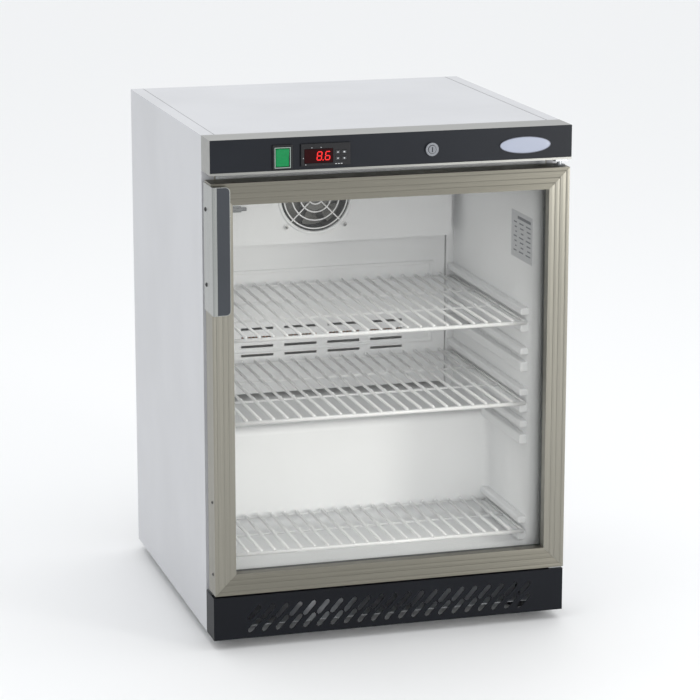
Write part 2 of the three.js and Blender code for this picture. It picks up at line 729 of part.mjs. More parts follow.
function fasciaPanel() {
  const { front, bottom, sill } = FASCIA;
  const plate = block([-HALF, HALF], [front, PANEL_BACK], [bottom + sill + GAP, CABINET.top]);
  const y = [front - 1, PANEL_BACK + 1];
  const rim = CONTROLLER.border - GAP;
  const halfWidth = SWITCH_BODY.width / 2 + GAP;
  const halfHeight = SWITCH_BODY.height / 2 + GAP;
  const { left, right } = CONTROLLER;
  return cut(plate, [
    block([left + rim, right - rim], y, [CONTROLLER.bottom + rim, CONTROLLER.top - rim]),
    block([SWITCH.x - halfWidth, SWITCH.x + halfWidth], y, [SWITCH.z - halfHeight, SWITCH.z + halfHeight]),
    rodY(LOCK.x, LOCK.z, LOCK.barrel + GAP, y, 24),
  ]);
}

function controllerCase() {
  const { left, right, bottom, top, front, back, border } = CONTROLLER;
  const bezel = block([left, right], [front, FASCIA.front - GAP], [bottom, top]);
  const body = block([left + border, right - border], [front + 1, back], [bottom + border, top - border]);
  const pockets = [
    block(
      [DISPLAY.left - GAP, DISPLAY.right + GAP],
      [front - 1, front + DISPLAY.thick + GAP],
      [DISPLAY.bottom - GAP, DISPLAY.top + GAP],
    ),
  ];
  const w = KEY.width / 2 + GAP;
  const h = KEY.height / 2 + GAP;
  for (const { x, z } of keyPlaces()) {
    pockets.push(block([x - w, x + w], [front - 1, front + KEY.depth], [z - h, z + h]));
  }
  return cut(join([bezel, body]), pockets);
}

function keyPlaces() {
  const names = [["lower", KEY.rows[0]], ["upper", KEY.rows[1]]];
  const places = [];
  for (const [row, z] of names) {
    for (const [column, x] of [["left", KEY.columns[0]], ["right", KEY.columns[1]]]) {
      places.push({ name: "key_" + row + "_" + column, x, z });
    }
  }
  return places;
}

// A key stands proud of the case and has a shallow dished cap; its front is at y = 0.
function keyCap() {
  const w = KEY.width / 2;
  const h = KEY.height / 2;
  const { rim, depth } = KEY_DISH;
  const body = block([-w, w], [0, KEY.depth], [-h, h]);
  return cut(body, [block([-w + rim, w - rim], [-1, depth], [-h + rim, h - rim])]);
}

function switchBezel() {
  const { x, z, width, height, front, back } = SWITCH;
  const { hole, floor } = SWITCH_BODY;
  const around = (w, h, y) => block([x - w / 2, x + w / 2], y, [z - h / 2, z + h / 2]);
  const bezel = around(width, height, [front, FASCIA.front - GAP]);
  const body = around(SWITCH_BODY.width, SWITCH_BODY.height, [front + 1, back]);
  return cut(join([bezel, body]), [around(...hole, [front - 1, back - floor])]);
}

// Drawn around its pivot, with the shallow V of its face towards -y, in the pressed-on position.
function switchRocker() {
  const { width, half, front, dish, back } = ROCKER;
  const points = [[-front, half], [dish - front, 0], [-front, -half]];
  points.push([1, 1 - half], [back, 0], [1, half - 1]);
  const geometry = alongX(points, [-width / 2, width / 2]);
  return geometry.rotateX(THREE.MathUtils.degToRad(ROCKER.tilt));
}

// The lock's pieces are drawn around the lock's axis; y stays the cabinet's y.
function lockBody() {
  const flange = rodY(0, 0, LOCK.flange, [LOCK.front, FASCIA.front - GAP], 28);
  const barrel = rodY(0, 0, LOCK.barrel, [LOCK.front + 1, CAM.front - 3], 24);
  return cut(join([flange, barrel]), [rodY(0, 0, LOCK.bore, [LOCK.front - 1, 0], 24)]);
}

function lockPlug() {
  const plug = rodY(0, 0, LOCK.plug, [LOCK.front - 0.5, CAM.front + CAM.thick], 24);
  const side = CAM.width / 2;
  const cam = block([-side, CAM.reach], [CAM.front, CAM.front + CAM.thick], [-side, side]);
  const { half, height, depth } = KEYWAY;
  const keyway = block([-half, half], [LOCK.front - 2, LOCK.front + depth], [-height, height]);
  return cut(join([plug, cam]), [keyway]);
}

function ovalBadge() {
  const points = [];
  const sides = 32;
  for (let i = 0; i < sides; i++) {
    const angle = (2 * Math.PI * i) / sides;
    points.push([BADGE.a * Math.cos(angle), BADGE.b * Math.sin(angle)]);
  }
  return alongY(points, [FASCIA.front - GAP - BADGE.thick, FASCIA.front - GAP]);
}

// ---------------------------------------------------------------------------------------------
// Door
// ---------------------------------------------------------------------------------------------

// Section of a door rail: u runs from the outer edge inwards, v from the front face backwards.
function railSection() {
  const depth = DOOR.back - DOOR.front;
  const glassFront = GLASS.front - DOOR.front;
  const glassBack = glassFront + 2 * GLASS.pane + GLASS.air;
  const grooveBottom = DOOR.face - GLASS.bite - 1;
  const { edges, groove, shoulder, slope } = FLUTE;
  const points = [[0, shoulder]];
  for (let i = 1; i < edges.length; i++) {
    points.push([(edges[i - 1] + edges[i]) / 2, 0]);
    if (edges[i] < DOOR.face) {
      points.push([edges[i] - slope, shoulder], [edges[i], groove], [edges[i] + slope, shoulder]);
    }
  }
  points.push(
    [DOOR.face, shoulder],
    [DOOR.face, glassFront - GAP],
    [grooveBottom, glassFront - GAP],
    [grooveBottom, glassBack + GAP],
    [GLASS.backLip, glassBack + GAP],
    [GLASS.backLip, depth],
    [0, depth],
  );
  const w = DOOR.wall;
  const hollow = [[w, w], [w, depth - w], [grooveBottom - w, depth - w], [grooveBottom - w, w]];
  return { points, hollow };
}

// A rail of the given length along +x with its outer edge at z = 0, its body towards +z, front at
// y = 0 and both ends mitred at 45 degrees.
function mitredRail(length) {
  const { points, hollow } = railSection();
  const shape = outline(points);
  shape.holes = [outline(hollow)];
  const geometry = prism(shape, length);
  const position = geometry.attributes.position;
  for (let i = 0; i < position.count; i++) {
    const u = position.getX(i);
    const v = position.getY(i);
    const along = position.getZ(i);
    const mitred = along < length / 2 ? u + GAP / 2 : length - u - GAP / 2;
    position.setXYZ(i, mitred, v, u);
  }
  return flip(geometry).translate(-length / 2, 0, 0);
}

// Swapping two axes turns a closed surface inside out; this turns it back.
function flip(geometry) {
  const bare = geometry.index ? geometry.toNonIndexed() : geometry;
  const p = bare.attributes.position;
  for (let i = 0; i < p.count; i += 3) {
    const a = [p.getX(i), p.getY(i), p.getZ(i)];
    const b = [p.getX(i + 1), p.getY(i + 1), p.getZ(i + 1)];
    p.setXYZ(i, ...b);
    p.setXYZ(i + 1, ...a);
  }
  bare.computeVertexNormals();
  return bare;
}

// The door group has its origin at the middle of the door's lower edge, on the front face, so
// cabinet points are brought into it by subtracting that place.
const inDoor = (x, y, z) => [x, y - DOOR.front, z - DOOR.bottom];

function doorRails() {
  const across = mitredRail(2 * DOOR.half);
  const upright = mitredRail(DOOR_HEIGHT);
  const [hingeX, hingeY] = inDoor(HINGE.x, HINGE.y, 0);
  const middle = DOOR_HEIGHT / 2;
  const bushHole = (z) => rodZ(hingeX, hingeY, BUSH.radius + BUSH.clear, z, 20);
  const slot = camSlot([DOOR.top - DOOR.wall - 1, DOOR.top + 1]).translate(0, -DOOR.front, -DOOR.bottom);
  const top = across.clone().rotateY(Math.PI).translate(0, 0, DOOR_HEIGHT);
  return {
    door_rail_bottom: cut(across, [bushHole([-1, DOOR.wall + 1])]),
    door_rail_top: cut(top, [bushHole([DOOR_HEIGHT - DOOR.wall - 1, DOOR_HEIGHT + 1]), slot]),
    door_rail_left: upright.clone().rotateY(Math.PI / 2).translate(-DOOR.half, 0, middle),
    door_rail_right: upright.clone().rotateY(-Math.PI / 2).translate(DOOR.half, 0, middle),
  };
}

function pane(front) {
  return block(PANE_X, [front, front + GLASS.pane], PANE_Z);
}

function glassSpacer(front) {
  const { inset, width } = SPACER;
  const shrink = (range, by) => [range[0] + by, range[1] - by];
  return ringY(
    shrink(PANE_X, inset),
    shrink(PANE_Z, inset),
    shrink(PANE_X, inset + width),
    shrink(PANE_Z, inset + width),
    [front, front + GLASS.air - 2 * GAP],
  );
}

function doorGasket() {
  const { outer, inner, back, endInset } = GASKET;
  const width = outer - inner;
  const y = [DOOR.back + GAP - DOOR.front, back - DOOR.front];
  const z = [endInset, DOOR_HEIGHT - endInset];
  return ringY([-outer, outer], z, [-inner, inner], [z[0] + width, z[1] - width], y);
}

// An angle: one side screwed to the door's left face, the other a grip in front of the door.
function doorHandle() {
  const { sheet, sideBack, tipX, tipY } = HANDLE;
  const points = [
    [-HALF, sideBack],
    [-HALF, tipY],
    [tipX, tipY],
    [tipX, tipY + sheet],
    [-HALF + sheet, tipY + sheet],
    [-HALF + sheet, sideBack],
  ];
  return alongZ(points, [HANDLE.bottom, HANDLE.top]).translate(0, -DOOR.front, -DOOR.bottom);
}

// side is -1 at the door's lower end and +1 at its upper end; z = 0 is the end of the door.
function hingeBush(side) {
  const across = (from, to) => [side * from, side * to].sort((a, b) => a - b);
  const rim = rodZ(0, 0, BUSH.rim, across(GAP, BUSH.rimThick), 20);
  const sleeve = rodZ(0, 0, BUSH.radius, across(BUSH.proud, -BUSH.sleeve), 20);
  return cut(join([rim, sleeve]), [rodZ(0, 0, BUSH.bore, across(-BUSH.sleeve - 1, BUSH.rimThick + 1), 16)]);
}

// An angle screwed to the cabinet's front edge, with the pin that the door turns on.
function hingeBracket({ plate, flange, pin }) {
  const x = [HINGE.x - BRACKET.reach, BRACKET.edge];
  return join([
    block(x, [HINGE.y - BRACKET.front, -GAP], plate),
    block(x, [-BRACKET.thick - GAP, -GAP], flange),
    rodZ(HINGE.x, HINGE.y, HINGE.pin, pin, 16),
  ]);
}

// ---------------------------------------------------------------------------------------------
// Assembly
// ---------------------------------------------------------------------------------------------

const refrigerator = new THREE.Group();
const cabinet = new THREE.Group();
refrigerator.add(cabinet);
// The footprint runs from the handle's tip to the back panel; its centre becomes y = 0.
cabinet.position.y = -(HANDLE.tipY + CABINET.depth) / 2;

place(cabinet, "side_panel_left", sidePanel(-1), M.whiteSheet);
place(cabinet, "side_panel_right", sidePanel(1), M.whiteSheet);
place(cabinet, "top_panel", topPanel(), M.whiteSheet);
place(cabinet, "back_panel", backPanel(), M.zinc);
place(cabinet, "front_rail", frontRail(), M.whiteSheet);
place(cabinet, "machine_bay_sheet", machineBaySheet(), M.zinc);
place(cabinet, "base_plate", basePlate(), M.zinc);
place(cabinet, "insulation_foam", insulationFoam(), M.foam);
place(cabinet, "inner_liner", innerLiner(), M.liner);

place(cabinet, "evaporator_cover", evaporatorCover(), M.liner);
place(cabinet, "fan_box", fanBox(), M.liner);
place(cabinet, "evaporator_coil", finnedCoil(EVAPORATOR), M.aluminium, EVAPORATOR_PLACE);
place(cabinet, "drip_tray", dripTray(), M.liner);
place(cabinet, "drain_tube", drainTube(), M.greyPlastic);
place(cabinet, "temperature_probe", temperatureProbe(), M.greyPlastic);

const fan = new THREE.Group();
fan.position.set(FAN.x, FAN_BOX.front + FAN_BOX.sheet + GAP, FAN.z);
cabinet.add(fan);
place(fan, "fan_housing", fanHousing(), M.greyPlastic);
place(fan, "fan_rotor", fanRotor(), M.blackPlastic);
place(fan, "fan_guard", fanGuard(), M.wire, [0, -(FAN_BOX.sheet + 2 * GAP + GUARD_TAB.half), 0]);

for (const { name, level, back } of SHELVES) {
  place(cabinet, name, wireShelf(back), M.wire, [0, 0, level + RAIL.below[1] + GAP]);
}

const compressorPlace = [COMPRESSOR.x, COMPRESSOR.y, BAY_FLOOR];
place(cabinet, "compressor", compressor(), M.compressor, compressorPlace);
const terminalPlace = [
  COMPRESSOR.x + COMPRESSOR.radius + 2,
  COMPRESSOR.y,
  BAY_FLOOR + TERMINAL_BOX.lift,
];
place(cabinet, "terminal_box", terminalBox(), M.blackPlastic, terminalPlace);
place(cabinet, "condenser", finnedCoil(CONDENSER), M.aluminium, CONDENSER_PLACE);
place(cabinet, "filter_drier", filterDrier(), M.copper, DRIER.place);
place(cabinet, "condensate_pan", condensatePan(), M.blackPlastic);
place(cabinet, "cord_gland", cordGland(), M.blackPlastic, GLAND_PLACE);
for (const [name, { radius, steps, route }] of [["discharge_line", DISCHARGE], ["suction_line", SUCTION]]) {
  place(cabinet, name, pipe(route, radius, steps), M.copper);
}

place(cabinet, "plinth_grille", plinthGrille(), M.blackSheet);
for (const { name, x, y } of footPlaces()) {
  place(cabinet, name, foot(), M.blackPlastic, [x, y, 0]);
}

place(cabinet, "fascia_housing", fasciaHousing(), M.stainless);
place(cabinet, "fascia_panel", fasciaPanel(), M.blackSheet);
place(cabinet, "controller_case", controllerCase(), M.blackPlastic);
const windowGeometry = block(
  [DISPLAY.left, DISPLAY.right],
  [CONTROLLER.front, CONTROLLER.front + DISPLAY.thick],
  [DISPLAY.bottom, DISPLAY.top],
);
place(cabinet, "display_window", windowGeometry, M.redWindow);
for (const { name, x, z } of keyPlaces()) {
  place(cabinet, name, keyCap(), M.greyPlastic, [x, CONTROLLER.front - KEY.travel - 0.1, z]);
}
place(cabinet, "switch_bezel", switchBezel(), M.blackPlastic);
place(cabinet, "switch_rocker", switchRocker(), M.greenPlastic, [SWITCH.x, ROCKER.pivotY, SWITCH.z]);
place(cabinet, "lock_body", lockBody(), M.chrome, [LOCK.x, 0, LOCK.z]);
place(cabinet, "lock_plug", lockPlug(), M.chrome, [LOCK.x, 0, LOCK.z]);
place(cabinet, "badge", ovalBadge(), M.badge, [BADGE.x, 0, BADGE.z]);

place(cabinet, "hinge_bracket_top", hingeBracket(BRACKET_TOP), M.zinc);
place(cabinet, "hinge_bracket_bottom", hingeBracket(BRACKET_BOTTOM), M.zinc);

const door = new THREE.Group();
door.position.set(0, DOOR.front, DOOR.bottom);
cabinet.add(door);
for (const [name, geometry] of Object.entries(doorRails())) {
  place(door, name, geometry, M.doorMetal);
}
const [, outerPaneY] = inDoor(0, GLASS.front, 0);
const spacerY = outerPaneY + GLASS.pane + GAP;
const innerPaneY = outerPaneY + GLASS.pane + GLASS.air;
place(door, "outer_glass", pane(outerPaneY), M.glass);
place(door, "inner_glass", pane(innerPaneY), M.glass);
place(door, "glass_spacer", glassSpacer(spacerY), M.blackPlastic);
place(door, "door_gasket", doorGasket(), M.rubber);
place(door, "door_handle", doorHandle(), M.stainless);
const [bushX, bushY] = inDoor(HINGE.x, HINGE.y, 0);
place(door, "hinge_bush_bottom", hingeBush(-1), M.greyPlastic, [bushX, bushY, 0]);
place(door, "hinge_bush_top", hingeBush(1), M.greyPlastic, [bushX, bushY, DOOR_HEIGHT]);

export default refrigerator;
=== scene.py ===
"""Looks of the undercounter refrigerator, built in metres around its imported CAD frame."""

import json
import math

import bmesh
import bpy
from mathutils import Matrix, Vector


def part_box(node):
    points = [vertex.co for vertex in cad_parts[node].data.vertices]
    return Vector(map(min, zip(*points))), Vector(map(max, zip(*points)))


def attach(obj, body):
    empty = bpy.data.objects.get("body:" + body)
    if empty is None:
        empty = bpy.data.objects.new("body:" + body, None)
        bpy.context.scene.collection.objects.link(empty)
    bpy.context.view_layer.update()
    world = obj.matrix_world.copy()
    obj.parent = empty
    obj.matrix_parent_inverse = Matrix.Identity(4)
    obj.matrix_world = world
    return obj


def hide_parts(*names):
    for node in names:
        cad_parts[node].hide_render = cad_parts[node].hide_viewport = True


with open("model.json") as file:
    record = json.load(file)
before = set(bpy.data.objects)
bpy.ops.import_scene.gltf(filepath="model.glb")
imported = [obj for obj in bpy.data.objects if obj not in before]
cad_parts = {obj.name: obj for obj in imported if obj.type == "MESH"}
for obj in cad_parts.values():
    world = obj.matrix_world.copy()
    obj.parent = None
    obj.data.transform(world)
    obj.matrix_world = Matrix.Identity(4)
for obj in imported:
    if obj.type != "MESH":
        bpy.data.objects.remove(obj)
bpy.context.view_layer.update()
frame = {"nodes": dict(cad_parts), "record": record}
scene = bpy.context.scene
MM = 0.001


# ---- Camera, light and floor -------------------------------------------------

CAMERA_PLACE = (-1.3014, -4.5588, 1.5369)
CAMERA_TURN = math.radians(16.07)  # to the right of straight ahead
CAMERA_DIP = math.radians(13.27)  # below the horizon
CAMERA_LENS = 146.1
FLOOR_SIZE = 60.0
WORLD_COLOUR = (0.97, 0.985, 1.0)
WORLD_STRENGTH = 1.0
# Name, place, target, size, power in watts, colour. The soft cabin panel just behind the glass evens
# out the cold room, as its own lamps would.
LAMPS = (
    ("key", (1.60, -2.41, 0.75), (0.0, 0.0, 0.4), (0.5, 1.0), 22.0, (1.0, 0.99, 0.96)),
    ("top", (0.0, 0.3, 3.4), (0.0, 0.3, 0.0), (3.0, 3.0), 20.0, (1.0, 1.0, 1.0)),
    ("cabin", (0.0, -0.248, 0.43), (0.0, 0.3, 0.43), (0.50, 0.60), 0.52, (1.0, 0.985, 0.975)),
)
CABIN_SPREAD = math.radians(120)


def make_camera():
    data = bpy.data.cameras.new("camera")
    data.lens = CAMERA_LENS
    data.sensor_width = 36.0
    data.clip_end = 200.0
    camera = bpy.data.objects.new("camera", data)
    camera.location = CAMERA_PLACE
    camera.rotation_euler = (math.pi / 2 - CAMERA_DIP, 0.0, -CAMERA_TURN)
    scene.collection.objects.link(camera)
    scene.camera = camera


def make_area_light(name, place, target, size, power, colour):
    data = bpy.data.lights.new(name, "AREA")
    data.shape = "RECTANGLE"
    data.size, data.size_y = size
    data.energy = power
    data.color = colour
    light = bpy.data.objects.new(name, data)
    light.location = place
    direction = Vector(target) - Vector(place)
    light.rotation_euler = direction.to_track_quat("-Z", "Y").to_euler()
    scene.collection.objects.link(light)
    return light


def make_lights():
    world = bpy.data.worlds.new("studio")
    world.use_nodes = True
    background = world.node_tree.nodes["Background"]
    background.inputs["Color"].default_value = (*WORLD_COLOUR, 1.0)
    background.inputs["Strength"].default_value = WORLD_STRENGTH
    scene.world = world
    lamps = {name: make_area_light(name, *details) for name, *details in LAMPS}
    cabin = lamps["cabin"]
    cabin.data.spread = CABIN_SPREAD
    cabin.visible_camera = False
    cabin.visible_glossy = False


# ---- Materials ---------------------------------------------------------------


class Nodes:
    """A material's node tree with short ways to add and join nodes."""

    def __init__(self, name):
        self.material = bpy.data.materials.new(name)
        self.material.use_nodes = True
        self.tree = self.material.node_tree
        self.shader = self.tree.nodes["Principled BSDF"]
        self.output = self.tree.nodes["Material Output"]

    def add(self, kind, **inputs):
        node = self.tree.nodes.new(kind)
        for key, value in inputs.items():
            node.inputs[key].default_value = value
        return node

    def join(self, source, target):
        self.tree.links.new(source, target)

    def set(self, **inputs):
        for key, value in inputs.items():
            self.shader.inputs[key.replace("_", " ")].default_value = value

    def noise(self, scale, stretch=(1.0, 1.0, 1.0), detail=3.0):
        """Noise in the object's own coordinates, stretched per axis."""
        where = self.add("ShaderNodeTexCoord")
        mapping = self.add("ShaderNodeMapping")
        mapping.inputs["Scale"].default_value = stretch
        noise = self.add("ShaderNodeTexNoise", Scale=scale, Detail=detail)
        self.join(where.outputs["Object"], mapping.inputs["Vector"])
        self.join(mapping.outputs["Vector"], noise.inputs["Vector"])
        return noise.outputs["Fac"]

    def ramp(self, factor, low, high, start=0.35, end=0.65):
        """Colours or greys that follow a factor between two stops."""
        ramp = self.add("ShaderNodeValToRGB")
        first, last = ramp.color_ramp.elements
        first.position, last.position = start, end
        first.color = (*low, 1.0)
        last.color = (*high, 1.0)
        self.join(factor, ramp.inputs["Fac"])
        return ramp.outputs["Color"]

    def range(self, factor, low, high):
        rescale = self.add("ShaderNodeMapRange")
        rescale.inputs["To Min"].default_value = low
        rescale.inputs["To Max"].default_value = high
        self.join(factor, rescale.inputs["Value"])
        return rescale.outputs["Result"]

    def bump(self, height, distance, strength=1.0):
        bump = self.add("ShaderNodeBump")
        bump.inputs["Distance"].default_value = distance
        bump.inputs["Strength"].default_value = strength
        self.join(height, bump.inputs["Height"])
        self.join(bump.outputs["Normal"], self.shader.inputs["Normal"])


def shade(colour, factor):
    return tuple(min(1.0, channel * factor) for channel in colour)


def coated(name, colour, roughness, grain=900.0, depth=0.00003, spread=0.03, coat=0.0, gloss=0.5):
    """Paint, powder coat or moulded plastic: a fine orange peel and a slight cloudiness."""
    nodes = Nodes(name)
    clouds = nodes.noise(5.0)
    low, high = shade(colour, 1 - spread), shade(colour, 1 + spread)
    nodes.join(nodes.ramp(clouds, low, high), nodes.shader.inputs["Base Color"])
    peel = nodes.noise(grain, detail=2.0)
    rough = nodes.range(peel, roughness - 0.05, roughness + 0.05)
    nodes.join(rough, nodes.shader.inputs["Roughness"])
    nodes.bump(peel, depth, 0.6)
    nodes.set(Coat_Weight=coat, Coat_Roughness=0.15, Specular_IOR_Level=gloss)
    return nodes.material


DRAWN_OUT = 0.75  # how strongly reflections are drawn out across the brushing


def brushed(name, colour, roughness, along, across="", spread=0.10, grain=700.0, depth=0.00003):
    """Metal brushed along one axis: long streaks in tone, roughness and height.

    When across names an axis, reflections are drawn out along it, at right angles to the brushing.
    """
    nodes = Nodes(name)
    stretch = [1.0, 1.0, 1.0]
    stretch["xyz".index(along)] = 0.012
    streaks = nodes.noise(grain, tuple(stretch), detail=4.0)
    broad = nodes.noise(60.0, tuple(stretch), detail=2.0)
    mix = nodes.add("ShaderNodeMath")
    mix.operation = "ADD"
    mix.use_clamp = True
    nodes.join(nodes.range(streaks, 0.0, 0.6), mix.inputs[0])
    nodes.join(nodes.range(broad, 0.0, 0.4), mix.inputs[1])
    low, high = shade(colour, 1 - spread), shade(colour, 1 + spread)
    nodes.join(nodes.ramp(mix.outputs[0], low, high), nodes.shader.inputs["Base Color"])
    rough = nodes.range(streaks, roughness - 0.08, roughness + 0.08)
    nodes.join(rough, nodes.shader.inputs["Roughness"])
    nodes.bump(streaks, depth, 0.5)
    nodes.set(Metallic=1.0)
    if across:
        axis = nodes.add("ShaderNodeVectorTransform")
        axis.convert_from, axis.convert_to = "OBJECT", "WORLD"
        axis.inputs["Vector"].default_value = [float(letter == across) for letter in "xyz"]
        nodes.join(axis.outputs["Vector"], nodes.shader.inputs["Tangent"])
        nodes.set(Anisotropic=DRAWN_OUT)
    return nodes.material


def galvanised(name, colour):
    """Zinc with its spangle: flat patches of slightly different tone and gloss."""
    nodes = Nodes(name)
    where = nodes.add("ShaderNodeTexCoord")
    cells = nodes.add("ShaderNodeTexVoronoi", Scale=90.0)
    nodes.join(where.outputs["Object"], cells.inputs["Vector"])
    tone = nodes.add("ShaderNodeSeparateColor")
    nodes.join(cells.outputs["Color"], tone.inputs["Color"])
    patch = tone.outputs["Red"]
    low, high = shade(colour, 0.93), shade(colour, 1.05)
    nodes.join(nodes.ramp(patch, low, high, 0.0, 1.0), nodes.shader.inputs["Base Color"])
    nodes.join(nodes.range(patch, 0.36, 0.52), nodes.shader.inputs["Roughness"])
    nodes.bump(nodes.noise(400.0), 0.00002, 0.4)
    nodes.set(Metallic=0.85)
    return nodes.material


def foam(name, colour):
    nodes = Nodes(name)
    cells = nodes.noise(700.0, detail=4.0)
    nodes.join(nodes.ramp(cells, shade(colour, 0.85), colour), nodes.shader.inputs["Base Color"])
    nodes.bump(cells, 0.0003)
    nodes.set(Roughness=0.95)
    return nodes.material


def pane_glass(name, tint, least):
    """A thin clear pane: light goes straight through, and the faces mirror more at grazing angles.

    The mirrored share follows Schlick's formula. A Fresnel node would make the back face a full
    mirror at steep angles, because light that isn't bent meets it there too flat.
    """
    nodes = Nodes(name)
    nodes.tree.nodes.remove(nodes.shader)
    clear = nodes.add("ShaderNodeBsdfTransparent", Color=(*tint, 1.0))
    mirror = nodes.add("ShaderNodeBsdfGlossy", Color=(1.0, 1.0, 1.0, 1.0), Roughness=0.015)
    weight = nodes.add("ShaderNodeLayerWeight", Blend=0.5)
    grazing = nodes.add("ShaderNodeMath")
    grazing.operation = "POWER"
    grazing.inputs[1].default_value = 5.0
    nodes.join(weight.outputs["Facing"], grazing.inputs[0])
    mix = nodes.add("ShaderNodeMixShader")
    nodes.join(nodes.range(grazing.outputs["Value"], least, 1.0), mix.inputs["Fac"])
    nodes.join(clear.outputs["BSDF"], mix.inputs[1])
    nodes.join(mirror.outputs["BSDF"], mix.inputs[2])
    nodes.join(mix.outputs["Shader"], nodes.output.inputs["Surface"])
    return nodes.material


def lit(name, colour, glow, strength, roughness, gloss):
    """A translucent plastic with a lamp behind it."""
    nodes = Nodes(name)
    clouds = nodes.noise(220.0)
    low = shade(colour, 0.85)
    nodes.join(nodes.ramp(clouds, low, colour), nodes.shader.inputs["Base Color"])
    nodes.set(Roughness=roughness, Specular_IOR_Level=gloss)
    nodes.set(Emission_Color=(*glow, 1.0), Emission_Strength=strength)
    return nodes.material


# Each row: colour, roughness, then what differs from an ordinary coat.
COATED = {
    "white_sheet": ((0.545, 0.550, 0.570), 0.42, {"coat": 0.1}),
    "white_plastic": ((0.80, 0.81, 0.82), 0.40, {"grain": 500.0, "spread": 0.015}),
    "coated_wire": ((0.84, 0.845, 0.85), 0.32, {"grain": 1200.0, "coat": 0.3}),
    "black_sheet": ((0.010, 0.012, 0.017), 0.38, {"grain": 1400.0, "spread": 0.12, "gloss": 0.2}),
    # A darker copy of black_sheet for the plinth: painted shade, as the plinth lies in the door's shadow.
    "plinth_black_painted_shade": ((0.006, 0.007, 0.010), 0.42, {"grain": 1400.0, "spread": 0.12, "gloss": 0.15}),
    "dark_plastic": ((0.010, 0.010, 0.012), 0.42, {"spread": 0.15, "gloss": 0.3}),
    "black_enamel": ((0.010, 0.010, 0.011), 0.28, {"grain": 300.0, "coat": 0.5}),
    "grey_plastic": ((0.24, 0.25, 0.26), 0.50, {"spread": 0.06}),
    # Near black, far darker than the grey plastic: painted shade for the fan housing deep inside the fan's
    # hole.
    "fan_plastic_painted_shade": ((0.04, 0.042, 0.045), 0.50, {"spread": 0.06, "gloss": 0.3}),
    "rotor_plastic": ((0.16, 0.16, 0.15), 0.50, {"spread": 0.06}),
    # A dark plate laid on the handle's front: a painted reflection, standing for a dark reflection in the
    # brushed steel.
    "painted_reflection_plastic": ((0.038, 0.043, 0.051), 0.36, {"grain": 1100.0, "spread": 0.08, "gloss": 0.35}),
    "key_plastic": ((0.035, 0.037, 0.042), 0.50, {"spread": 0.06}),
    "spacer_strip": ((0.018, 0.022, 0.021), 0.40, {"spread": 0.1}),
    "badge_plastic": ((0.37, 0.40, 0.49), 0.25, {"spread": 0.02, "gloss": 0.4}),
    "badge_rim": ((0.16, 0.17, 0.21), 0.25, {"spread": 0.02}),
    "rocker_rim": ((0.30, 0.36, 0.33), 0.35, {"grain": 700.0, "spread": 0.05}),
    "seal_rubber": ((0.34, 0.35, 0.34), 0.60, {"grain": 800.0, "spread": 0.08}),
    "gasket_rubber": ((0.030, 0.024, 0.020), 0.62, {"grain": 800.0, "spread": 0.2}),
    "seam_sealant": ((0.16, 0.16, 0.165), 0.60, {"spread": 0.1}),
    "label_paper": ((0.60, 0.61, 0.63), 0.55, {"grain": 600.0}),
    "label_ink": ((0.16, 0.17, 0.19), 0.60, {}),
    "white_ink": ((0.55, 0.56, 0.58), 0.50, {}),
}
# Each row: colour, roughness, the axis of the brushing, then what differs.
BRUSHED = {
    "fin_aluminium": ((0.72, 0.74, 0.76), 0.34, "z", {}),
    "copper": ((0.72, 0.36, 0.20), 0.30, "z", {"spread": 0.15}),
    "stainless": ((0.44, 0.44, 0.42), 0.30, "x", {}),
    # The fascia housing's stainless, darker than the plain stainless: painted shade for its end faces,
    # which lie in shadow.
    "fascia_steel_painted_shade": ((0.31, 0.31, 0.295), 0.34, "x", {"spread": 0.14}),
    "handle_steel": ((0.33, 0.34, 0.33), 0.28, "z", {}),
    # One aluminium for the whole door frame. The brushing along rails and stiles is real; the rails' darker
    # tone and the stiles' lighter tone are painted shade and painted light.
    "door_aluminium_x": ((0.215, 0.205, 0.172), 0.38, "x", {"across": "z", "spread": 0.07}),
    "door_aluminium_z": ((0.285, 0.274, 0.236), 0.36, "z", {"across": "x", "spread": 0.07}),
    "lock_chrome": ((0.26, 0.27, 0.29), 0.24, "y", {"spread": 0.05}),
    "screw_steel": ((0.50, 0.50, 0.50), 0.25, "y", {"spread": 0.05}),
}
# Each row: colour, colour of the lamp behind it, the lamp's strength, roughness, gloss.
LIT = {
    "display_window": ((0.016, 0.001, 0.002), (0.4, 0.0, 0.0), 0.02, 0.3, 0.1),
    "display_digits": ((0.5, 0.02, 0.02), (1.0, 0.03, 0.03), 0.8, 0.3, 0.1),
    "green_rocker": ((0.003, 0.16, 0.05), (0.01, 0.6, 0.16), 0.14, 0.25, 0.25),
}
MATERIALS = {
    "zinc_sheet": galvanised("zinc_sheet", (0.55, 0.57, 0.59)),
    "foam": foam("foam", (0.78, 0.70, 0.45)),
    "door_glass": pane_glass("door_glass", (0.985, 0.985, 0.98), 0.015),
}
for name, (colour, roughness, rest) in COATED.items():
    MATERIALS[name] = coated(name, colour, roughness, **rest)
for name, (colour, roughness, along, rest) in BRUSHED.items():
    MATERIALS[name] = brushed(name, colour, roughness, along, **rest)
for name, row in LIT.items():
    MATERIALS[name] = lit(name, *row)


# ---- Mesh helpers ------------------------------------------------------------


def make_piece(name, mesh_builder, material, body, replaces=(), smooth=False, bevel=None):
    """A piece whose mesh is filled by mesh_builder(bm); it rides on a body."""
    mesh = bpy.data.meshes.new(name)
    bm = bmesh.new()
    mesh_builder(bm)
    bmesh.ops.recalc_face_normals(bm, faces=bm.faces)
    bm.to_mesh(mesh)
    bm.free()
    for polygon in mesh.polygons:
        polygon.use_smooth = smooth
    mesh.materials.append(MATERIALS[material])
    piece = bpy.data.objects.new(name, mesh)
    scene.collection.objects.link(piece)
    if bevel:
        soften(piece, *bevel)
    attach(piece, body)
    if replaces:
        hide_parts(*replaces)
    return piece


